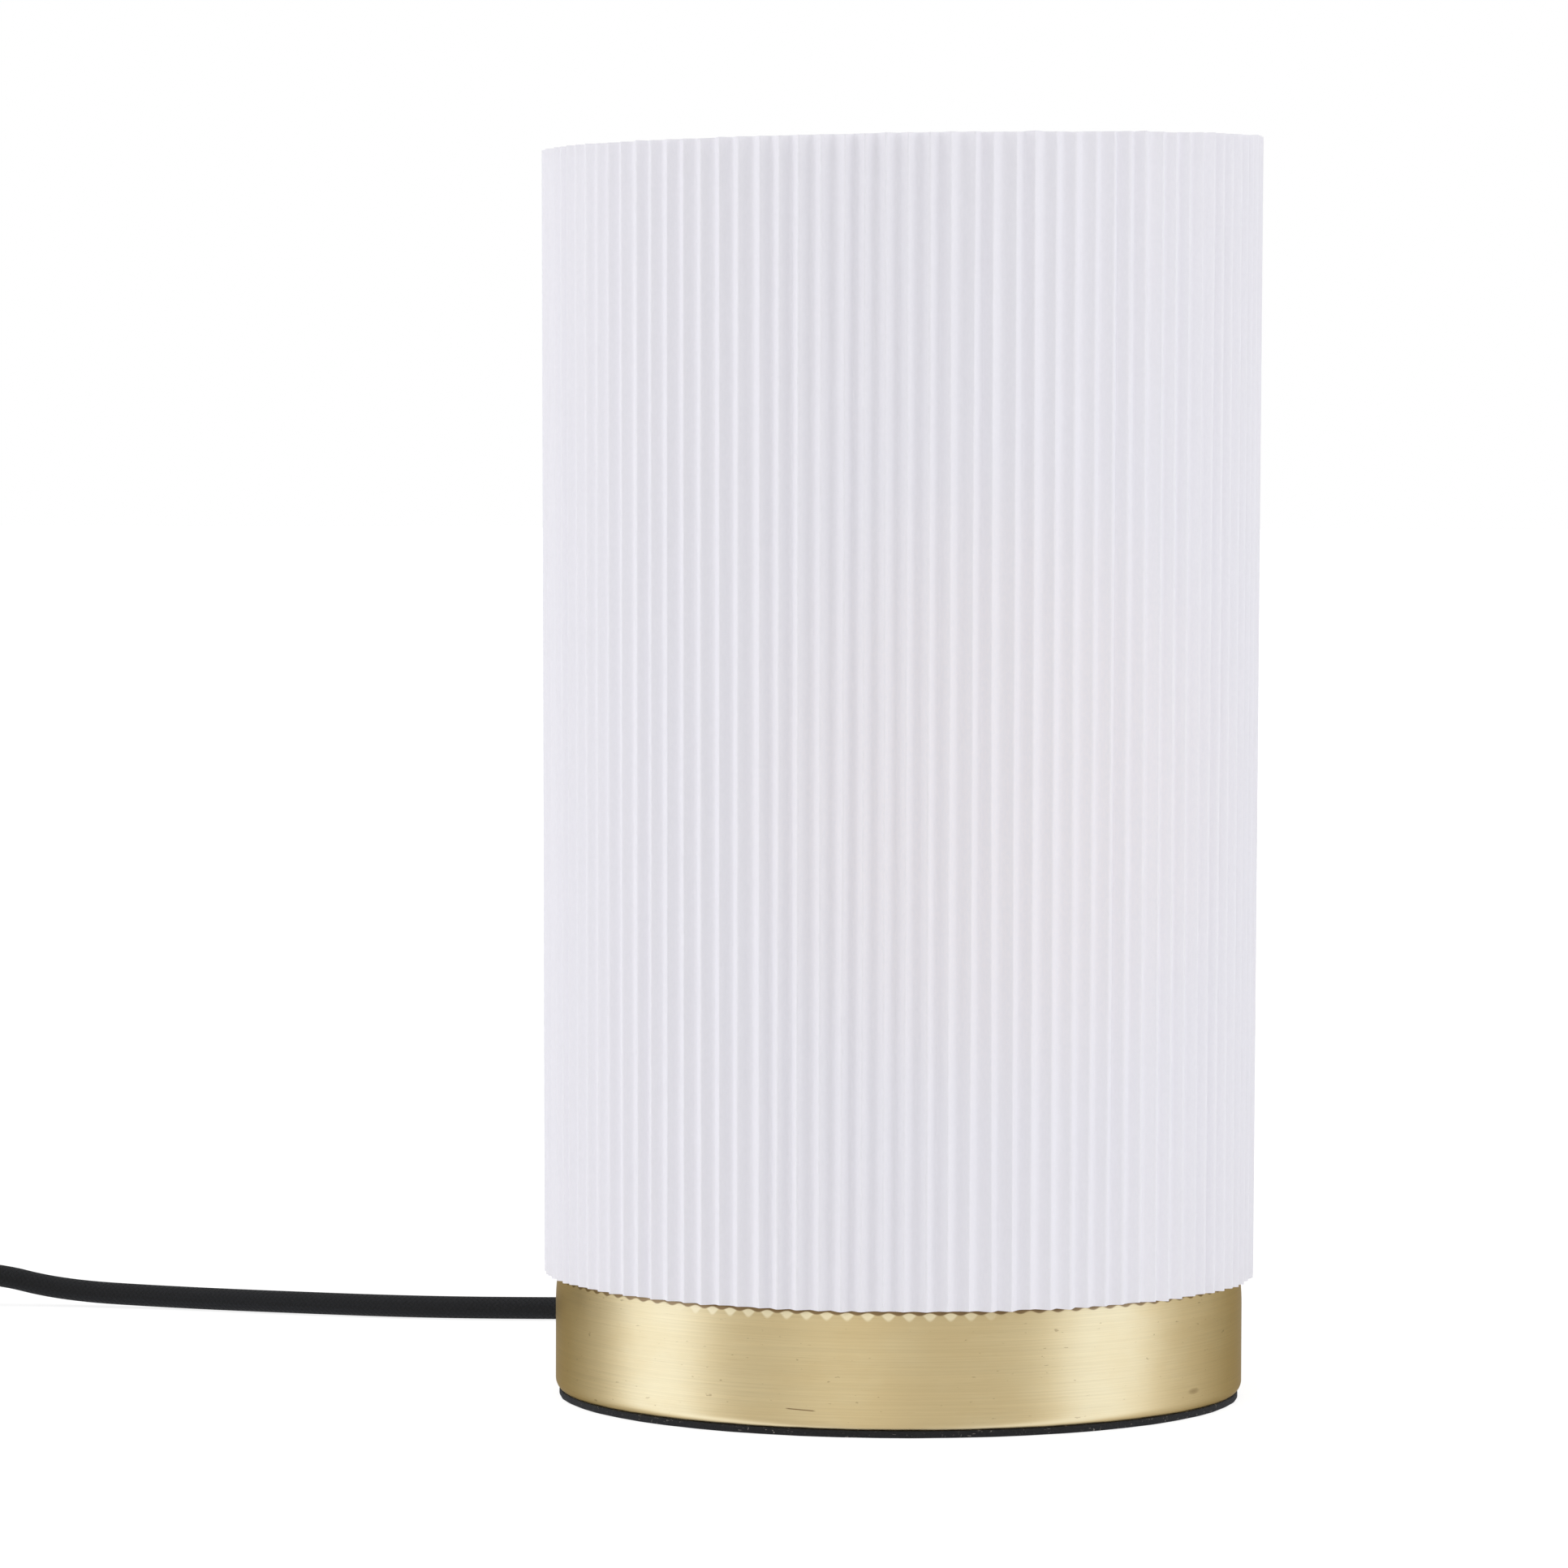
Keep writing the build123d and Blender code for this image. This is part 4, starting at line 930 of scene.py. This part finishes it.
class LAMP_OT_flex(LampOperator, bpy.types.Operator):
    """The free cord from the drum to the switch and from there through its coil to the plug"""

    bl_idname = "lamp.flex"
    bl_label = "Cord"

    def build(self, scene):
        relief = self.relief()
        boot = self.plug_boot()
        lower = self.moulding("case_lower", "switch_lower", 0.0006)
        upper = self.moulding("case_upper", "switch_upper", 0.0006)
        plug = self.moulding("plug_shell", "plug_body", 0.0008)
        self.moulding("rocker_key", "switch_rocker", 0.0003, "rocker", "rocker_black")
        path = curve_points("line_to_switch", np.array(ROUTE_TO_SWITCH) * MM)
        near = tube("flex_to_switch", path, CORD_RADIUS * MM)
        settle(near, "lamp", "braid", "cord_to_switch")
        route = np.concatenate([ROUTE_TO_COIL, self.coil(), ROUTE_TO_PLUG]) * MM
        path = curve_points("line_to_plug", route)
        far = tube("flex_to_plug", path, CORD_RADIUS * MM)
        settle(far, "lamp", "braid", "cord_to_coil", "cord_coil", "cord_to_plug")
        tie = self.tie()

    def moulding(self, name, node, width, body="lamp", slot="black_plastic"):
        """A moulded piece of the frame with its edges softened."""
        return settle(softened(name, node, width), body, slot, node)

    def length(self, path):
        return float(np.sum(np.linalg.norm(np.diff(path, axis=0), axis=1)))

    def coil(self):
        """Control points of the wound turns. Turn number n = floor(t) goes round at one radius and
        steps to the next near its end; the lower layer winds inwards, the upper outwards:
        point = centre + r(t) (cos a, sin a), a = 90 degrees + 2 pi t. Under the tie the level
        rises by lift exp(-(angle from the tie / spread)^2)."""
        step_start, step_share = 0.7, 0.28
        lift, spread = 0.75, 0.45
        t = np.arange(0, COIL_TURNS * POINTS_PER_TURN + 1) / POINTS_PER_TURN
        turn = np.floor(t).astype(int)
        step = smooth((t - turn - step_start) / step_share)
        order = np.array([0, 1, 2, 3, 3, 2, 1, 0, 0, 0])
        radii = np.array(COIL_RADII)
        radius = radii[order[turn]] * (1 - step) + radii[order[turn + 1]] * step
        low, high = COIL_LEVELS
        climb = np.where(turn == 3, step, np.where(turn > 3, 1.0, 0.0))
        angle = np.pi / 2 + 2 * np.pi * t
        tie = np.abs((angle - TIE_ANGLE + np.pi) % (2 * np.pi) - np.pi)
        level = low + (high - low) * climb + lift * np.exp(-((tie / spread) ** 2))
        x = COIL_CENTRE[0] + radius * np.cos(angle)
        y = COIL_CENTRE[1] + radius * np.sin(angle)
        return np.stack([x, y, level], -1)

    def tie(self):
        """A flat strap round the bundle: a rounded rectangle in the plane of radius and height,
        with a thin rounded band as its section along the turns."""
        inner, outer, bottom, top = 17.9, 37.9, 0.45, 11.1
        half_width, half_thick = 3.5, 0.35
        loop = eased([(inner, bottom), (outer, bottom), (outer, top), (inner, top)], 2.4, 8)
        ahead = np.roll(loop, -1, 0) - np.roll(loop, 1, 0)
        ahead /= np.linalg.norm(ahead, axis=1)[:, None]
        outwards = np.stack([ahead[:, 1], -ahead[:, 0]], -1)
        signs = np.array([(-1, -1), (1, -1), (1, 1), (-1, 1)])
        section = eased(signs * (half_width, half_thick), 0.3, 3)
        at = loop[:, None] + outwards[:, None] * section[None, :, 1:]
        along = np.broadcast_to(section[None, :, 0], at.shape[:2])
        c, s = math.cos(TIE_ANGLE), math.sin(TIE_ANGLE)
        x = COIL_CENTRE[0] + at[..., 0] * c - along * s
        y = COIL_CENTRE[1] + at[..., 0] * s + along * c
        grid = np.stack([x, y, at[..., 1]], -1) * MM
        piece = skin("coil_tie", grid, wrap_rows=True)
        return settle(piece, "lamp", "black_plastic")

    def relief(self):
        """Tapered boot, clipped into the drum: a turned profile whose taper has four grooves."""
        root, end = (3.9, 70.4), (2.92, 86.7)
        grooves = self.grooves((72.6, 75.4, 78.2, 81.0), 1.5, 0.26, root, (2.9, 86.7))
        clip = [(FLEX_BORE, 66.3), (4.3, 66.3), (4.3, 67.45), (3.3, 67.5), (3.3, 68.75)]
        flange = [(4.4, 68.75), (4.4, 70.35)]
        profile = eased([*clip, *flange, root, *grooves, end, (FLEX_BORE, end[1])], 0.25, 3)
        grid = laid_back(around(profile, 48), 0, CORD_LEVEL)
        piece = skin("relief_boot", grid, wrap_rows=True)
        return settle(piece, "lamp", "black_plastic", "strain_relief")

    def plug_boot(self):
        """The plug's tapered boot, with three grooves."""
        root, end = (5.0, 68.0), (3.2, 80.0)
        grooves = self.grooves((70.0, 72.6, 75.2), 1.4, 0.35, root, end)
        profile = eased([(FLEX_BORE, root[1]), root, *grooves, end, (FLEX_BORE, end[1])], 0.3, 3)
        grid = laid_back(around(profile, 48), PLUG_LINE, PLUG_LEVEL)
        piece = skin("plug_sleeve", grid, wrap_rows=True)
        return settle(piece, "lamp", "black_plastic", "plug_boot")

    def grooves(self, starts, width, depth, root, tip):
        """Corners of grooves cut into a taper, the straight line from root to tip, which are given
        as (radius, height). Each groove has sides 0.25 mm long and a floor one depth below."""
        slope = 0.25
        heights = np.array(starts)[:, None] + [0, slope, width - slope, width]
        taper = root[0] + (tip[0] - root[0]) * (heights - root[1]) / (tip[1] - root[1])
        radii = taper - depth * np.array([0, 1, 1, 0])
        return list(zip(radii.ravel(), heights.ravel()))


class LAMP_OT_shade(LampOperator, bpy.types.Operator):
    """The pleated skin, the liner behind it and the ring in its top"""

    bl_idname = "lamp.shade"
    bl_label = "Shade"

    def build(self, scene):
        self.settings = scene.lamp_shade
        self.pleats()
        self.liner()
        self.ring()

    def top_cut(self, angle):
        """Height of the paper's upper edge: top - 0.4 + slope cos a + 0.18 cos 2a, and a touch of
        sin 3a."""
        slope = self.settings.top_slope / MM
        bow = 0.18 * np.cos(2 * angle)
        waver = 0.08 * np.sin(3 * angle + 0.6)
        return SHADE_TOP - 0.4 + slope * np.cos(angle) + bow + waver

    def bottom_cut(self, angle):
        return SHADE_BOTTOM + 0.05 - 0.15 * np.cos(angle)

    def growth(self, level):
        """How many times wider the shade is at a level than at its lower edge."""
        return 1 + SHADE_GROWTH * (level - SHADE_BOTTOM) / (SHADE_TOP - SHADE_BOTTOM)

    def film(self, level):
        """Outer radius of the liner at a level."""
        return (SHADE_RADIUS - PLEAT_DEPTH - PAPER_WALL) * self.growth(level) - GLUE_GAP

    def pleats(self):
        """Outer and inner wall of the folded paper. Along a pleat, from -0.5 to 0.5 about its
        ridge, the radius falls a little over the rounded ridge, and then to the valley, the
        pleat's depth further in, by the mean of a smoothstep and 1 - (1 - t)^2. Each pleat strays
        by its own small amounts in place, lean, height and width."""
        settings = self.settings
        half_ridge = settings.ridge_share / 2
        crown = 0.14
        flank = np.array([0.1, 0.22, 0.35, 0.5, 0.65, 0.8, 0.91, 1.0])
        crest = np.array([0, 0.4, 0.75, 1.0])
        half = np.r_[half_ridge * crest, half_ridge + (0.5 - half_ridge) * flank]
        share = np.r_[-half[:0:-1], half[:-1]]
        columns = len(share)
        random = np.random.default_rng(41)
        stray = random.normal(0, 1, (6, PLEATS)).clip(-2, 2)
        stray = np.repeat(stray, columns, 1)
        s = np.tile(share, PLEATS)
        reach = settings.unevenness / MM
        pitch = 2 * np.pi / PLEATS
        own_ridge = half_ridge * (1 + 0.16 * stray[3])
        down = ((np.abs(s) - own_ridge) / (0.5 - own_ridge)).clip(0, 1)
        drop = 0.5 * smooth(down) + 0.5 * (1 - (1 - down) ** 2)
        rounded = crown * (np.abs(s) / own_ridge).clip(0, 1) ** 2
        ridge = SHADE_RADIUS + 0.35 * reach * stray[0]
        fold = SHADE_RADIUS - PLEAT_DEPTH + 0.03 * stray[4]
        outer = (ridge - rounded) * (1 - drop) + fold * drop
        angle = (np.repeat(np.arange(PLEATS), columns) + s) * pitch - np.pi / 2
        sway = reach * stray[1] / SHADE_RADIUS
        lean = reach * stray[2] / SHADE_RADIUS
        ends = 1 - (np.abs(s) * 2) ** 2
        height = np.linspace(0, 1, 15)[:, None]
        wander = sway + lean * (2 * height - 1) + 0.4 * lean * np.sin(5 * height + stray[5])
        turn = angle + wander * ends
        nick = 0.12 * stray[5] * ends
        low = self.bottom_cut(angle) + nick * 0.8
        high = self.top_cut(angle) + nick * 0.6
        level = low + (high - low) * height
        outside = turned(outer * self.growth(level), turn, level)
        inside = turned((outer - PAPER_WALL) * self.growth(level), turn, level)
        grid = np.concatenate([outside, inside[::-2]]) * MM
        piece = skin("pleated_skin", grid, wrap_rows=True, sharp=50.0)
        settle(piece, "shade", "pleated_paper", "shade_pleats")

    def liner(self):
        """A thin tapered tube whose upper edge follows the paper's cut, 0.5 mm lower."""
        sides = 360
        angle = np.linspace(0, 2 * np.pi, sides, endpoint=False)[None, :]
        bottom = SHADE_BOTTOM + 0.4
        height = np.linspace(0, 1, 9)[:, None]
        level = bottom + (self.top_cut(angle) - 0.5 - bottom) * height
        outside = turned(self.film(level), angle, level)
        inside = turned(self.film(level) - LINER_WALL, angle, level)
        grid = np.concatenate([outside, inside[::-1]]) * MM
        piece = skin("liner_film", grid, wrap_rows=True)
        settle(piece, "shade", "liner_film", "shade_liner")

    def ring(self):
        """Wire ring below the upper edge: a torus whose middle rises and falls with the cut."""
        angle = np.linspace(0, 2 * np.pi, 240, endpoint=False)[None, :]
        around_wire = np.linspace(0, 2 * np.pi, 16, endpoint=False)[:, None]
        middle = self.top_cut(angle) - WIRE_DROP
        reach = self.film(middle) - LINER_WALL - WIRE_GAP - WIRE_RADIUS
        radius = reach + WIRE_RADIUS * np.cos(around_wire)
        level = middle + WIRE_RADIUS * np.sin(around_wire)
        piece = skin("wire_ring", turned(radius, angle, level) * MM, wrap_rows=True)
        settle(piece, "shade", "white_steel", "top_ring")


class LAMP_OT_base(LampOperator, bpy.types.Operator):
    """The spun brass drum and its pad"""

    bl_idname = "lamp.base"
    bl_label = "Base"

    def build(self, scene):
        self.drum()
        self.pad()

    def drum(self):
        """A turned shell: foot arc, straight side, wide shoulder arc, small rim arc and top, and
        the same arcs 0.9 mm further in for its inner face."""
        foot = (DRUM_RADIUS - FOOT_ARC, FOOT_LEVEL)
        shoulder = (DRUM_RADIUS - SHOULDER_ARC, SHOULDER_LEVEL)
        outside = [
            *arc(foot, FOOT_ARC, -57, 0, 10),
            *((DRUM_RADIUS, height) for height in np.linspace(5, 17.5, 4)),
            *arc(shoulder, SHOULDER_ARC, 0, 10.5, 8),
            *arc(RIM_CENTRE, RIM_ARC, 12, 90, 12),
            *((radius, DRUM_TOP) for radius in (55.0, 35.0, 15.0, NIPPLE_HOLE)),
        ]
        inside = [
            *arc(foot, FOOT_ARC - DRUM_WALL, -57, 0, 5),
            *arc(shoulder, SHOULDER_ARC - DRUM_WALL, 0, 10.5, 5),
            *arc(RIM_CENTRE, RIM_ARC - DRUM_WALL, 20, 90, 5),
            (NIPPLE_HOLE, DRUM_TOP - DRUM_WALL),
        ]
        profile = np.array([*outside, *inside[::-1], (DRUM_MOUTH, PAD_THICKNESS)])
        piece = skin("brass_drum", around(profile, 288), wrap_rows=True)
        settle(piece, "lamp", "brushed_brass", "base_drum")

    def pad(self):
        """A thin disc with softened edges, its rim a little wavy as cut cloth is."""
        rim = [(PAD_RADIUS, 0), (PAD_RADIUS, PAD_THICKNESS)]
        profile = eased([(0, 0), *rim, (0, PAD_THICKNESS)], 0.35, 4, closed=False)

        def ragged(angle, height, radius):
            wave = 0.05 * np.sin(23 * angle) + 0.04 * np.sin(57 * angle + 1.3)
            return wave * smooth((radius - 60) / 7)

        piece = skin("fibre_pad", around(profile, 288, ragged))
        settle(piece, "lamp", "foot_pad", "foot_pad")


class LAMP_OT_holder(LampOperator, bpy.types.Operator):
    """The lampholder's cap and shell"""

    bl_idname = "lamp.holder"
    bl_label = "Lampholder"

    def build(self, scene):
        self.ribs = scene.lamp_bulb.ribs
        stem, lip = 12.0, 76.0
        recess, seat = 40.0, 37.5
        cap = [
            (NIPPLE_HOLE, CAP_BOTTOM),
            (stem, CAP_BOTTOM),
            (stem, 33.0),
            *((HOLDER_RADIUS, height) for height in (40.0, 41.4, 46.0, CAP_TOP)),
            (CAP_RECESS, CAP_TOP),
            (CAP_RECESS, recess),
            (CORE_BORE, recess),
            (CORE_BORE, seat),
            (NIPPLE_HOLE, seat),
        ]
        self.ribbed("holder_cup", "holder_cap", eased(cap, 0.6, 4), 40.6, 46.9)
        shell = [
            (SHELL_BORE, CAP_TOP),
            (HOLDER_RADIUS, CAP_TOP),
            *((HOLDER_RADIUS, height) for height in np.linspace(49.6, 72.0, 5)),
            (HOLDER_RADIUS, HOLDER_TOP),
            (HOLDER_MOUTH, HOLDER_TOP),
            (HOLDER_MOUTH, lip),
            (SHELL_BORE, lip),
        ]
        self.ribbed("holder_skirt", "holder_shell", eased(shell, 0.7, 4), 49.8, 72.5)

    def ribbed(self, name, node, profile, start, end):
        """A turned piece with grip ribs: between the start and end heights its outer radius is
        less by 0.35 (1 - cos(ribs x angle)) / 2, which fades in and out over 1.2 mm."""
        fade, depth = 1.2, 0.35

        def grip(angle, height, radius):
            inside = smooth((height - start) / fade) * smooth((end - height) / fade)
            inside = inside * (radius > HOLDER_RADIUS - 0.3)
            return -depth * inside * (0.5 - 0.5 * np.cos(self.ribs * angle))

        piece = skin(name, around(profile, 384, grip), wrap_rows=True, sharp=50.0)
        settle(piece, "lamp", "black_plastic", node)


class LAMP_OT_bulb(LampOperator, bpy.types.Operator):
    """The bulb's contact tip, insulator, threaded cap, housing and globe"""

    bl_idname = "lamp.bulb"
    bl_label = "Bulb"

    def build(self, scene):
        settings = scene.lamp_bulb
        tip = [(0, TIP_BOTTOM), (2.8, TIP_BOTTOM), (4.6, INSULATOR_BOTTOM), (0, INSULATOR_BOTTOM)]
        self.solid("solder_tip", "bulb_tip", tip, 0.7, "cap_metal")
        glass = [
            (0, INSULATOR_BOTTOM),
            (5.4, INSULATOR_BOTTOM),
            (SCREW_CAP_SEAT, 59.5),
            (SCREW_CAP_SEAT, SCREW_CAP_BOTTOM),
            (0, SCREW_CAP_BOTTOM),
        ]
        self.solid("glass_insulator", "bulb_insulator", glass, 0.5, "black_insulator")
        self.screw_cap(settings)
        self.housing()
        self.globe()

    def solid(self, name, node, corners, radius, slot):
        """A turned piece that is full to its middle, with rounded corners."""
        profile = eased(corners, radius, 4, closed=False)
        settle(skin(name, around(profile, 96)), "bulb", slot, node)

    def screw_cap(self, settings):
        """A thin shell with a rolled thread: outer radius = root + depth (1 + cos(2 pi (z / pitch)
        - a)) / 2, which fades out at both ends, with the bore straight inside it."""
        depth = settings.thread_depth / MM
        foot, floor, fade_length = 61.6, 61.7, 1.6
        heights = np.linspace(foot, SCREW_CAP_TOP - 0.4, 74)
        root = [(THREAD_CREST - depth, height) for height in heights]
        outside = [(SCREW_CAP_SEAT, SCREW_CAP_BOTTOM), (11.6, 61.1), *root]
        rim = [(12.65, SCREW_CAP_TOP), (SCREW_CAP_BORE, SCREW_CAP_TOP)]
        inside = [(SCREW_CAP_BORE, floor), (0.0, floor), (0.0, SCREW_CAP_BOTTOM)]
        profile = np.array([*outside, *rim, *inside])

        def thread(angle, height, radius):
            fade = smooth((height - 61.4) / fade_length)
            fade = fade * smooth((SCREW_CAP_TOP - height) / fade_length) * (radius > 12)
            phase = 2 * np.pi * (height - foot) / THREAD_PITCH - angle
            return fade * depth * (0.5 + 0.5 * np.cos(phase))

        piece = skin("threaded_cap", around(profile, 96, thread), wrap_rows=True)
        settle(piece, "bulb", "cap_metal", "bulb_screw_cap")

    def housing(self):
        """The flared housing: a cubic curve from its root up to the globe's mouth, turned, with
        its inner face 1.5 mm further in and its plug in the screw cap."""
        reach_in = (GLOBE_MOUTH_RADIUS - HOUSING_ROOT) * 0.89
        reach_down = reach_in * GLOBE_MOUTH_RADIUS / GLOBE_DROP
        rise = GLOBE_MOUTH - SCREW_CAP_TOP
        control = np.array(
            [
                (HOUSING_ROOT, SCREW_CAP_TOP),
                (13.8, SCREW_CAP_TOP + rise * 0.45),
                (GLOBE_MOUTH_RADIUS - reach_in, GLOBE_MOUTH - reach_down),
                (GLOBE_MOUTH_RADIUS, GLOBE_MOUTH),
            ]
        )
        t = np.linspace(0, 1, 28)[:, None]
        side = (1 - t) ** 3 * control[0] + 3 * t * (1 - t) ** 2 * control[1]
        side = side + 3 * t**2 * (1 - t) * control[2] + t**3 * control[3]
        shelf = SCREW_CAP_TOP + HOUSING_WALL
        inner = side - [HOUSING_WALL, 0]
        inner = inner[inner[:, 1] > shelf]
        foot = SCREW_CAP_TOP - 3.0
        plug = [(10.2, shelf), (10.2, foot), (11.7, foot), (11.7, SCREW_CAP_TOP)]
        profile = np.concatenate([side, inner[::-1], plug])
        piece = skin("flared_housing", around(profile, 128), wrap_rows=True)
        settle(piece, "bulb", "white_plastic", "bulb_housing")

    def globe(self):
        """A ball shell, open below at its mouth: outer arc up to the pole and inner arc back."""
        bore = GLOBE_RADIUS - GLOBE_WALL
        mouth = math.degrees(math.asin(-GLOBE_DROP / GLOBE_RADIUS))
        inner_mouth = math.degrees(math.asin(-GLOBE_DROP / bore))
        outer = arc((0, GLOBE_CENTRE), GLOBE_RADIUS, mouth, 90, 60)
        inner = arc((0, GLOBE_CENTRE), bore, 90, inner_mouth, 40)
        outer[-1, 0] = inner[0, 0] = 0.0
        profile = np.concatenate([outer, inner])
        piece = skin("opal_globe", around(profile, 128), wrap_rows=True)
        settle(piece, "bulb", "opal", "bulb_globe")


class LAMP_OT_finishes(LampOperator, bpy.types.Operator):
    """Finishes of the pieces whose shape comes from the frame"""

    bl_idname = "lamp.finishes"
    bl_label = "Finishes"

    def build(self, scene):
        for name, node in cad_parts.items():
            if node.hide_render:
                continue
            node.data.materials.clear()
            node.data.materials.append(finish(FINISH_OF[name]))


class LAMP_PT_panel(bpy.types.Panel):
    """The lamp's operators and settings"""

    bl_label = "Pleated lamp"
    bl_idname = "LAMP_PT_panel"
    bl_space_type = "VIEW_3D"
    bl_region_type = "UI"
    bl_category = "Lamp"

    def draw(self, context):
        for operator, group in OPERATORS:
            box = self.layout.box()
            box.operator(operator.bl_idname)
            settings = getattr(context.scene, group, None)
            for name in settings.__annotations__ if settings else ():
                box.prop(settings, name)


GROUPS = {
    "lamp_stage": LampStageSettings,
    "lamp_flex": LampFlexSettings,
    "lamp_shade": LampShadeSettings,
    "lamp_base": LampBaseSettings,
    "lamp_bulb": LampBulbSettings,
}
OPERATORS = (
    (LAMP_OT_stage, "lamp_stage"),
    (LAMP_OT_flex, "lamp_flex"),
    (LAMP_OT_shade, "lamp_shade"),
    (LAMP_OT_base, "lamp_base"),
    (LAMP_OT_holder, ""),
    (LAMP_OT_bulb, "lamp_bulb"),
    (LAMP_OT_finishes, ""),
)
CLASSES = (*GROUPS.values(), *(operator for operator, group in OPERATORS), LAMP_PT_panel)


def register():
    for item in CLASSES:
        bpy.utils.register_class(item)
    for name, group in GROUPS.items():
        setattr(bpy.types.Scene, name, bpy.props.PointerProperty(type=group))


def unregister():
    for name in GROUPS:
        delattr(bpy.types.Scene, name)
    for item in reversed(CLASSES):
        bpy.utils.unregister_class(item)


def main():
    register()
    bpy.ops.lamp.stage()
    bpy.ops.lamp.flex()
    bpy.ops.lamp.shade()
    bpy.ops.lamp.base()
    bpy.ops.lamp.holder()
    bpy.ops.lamp.bulb()
    bpy.ops.lamp.finishes()


if __name__ == "__main__":
    main()
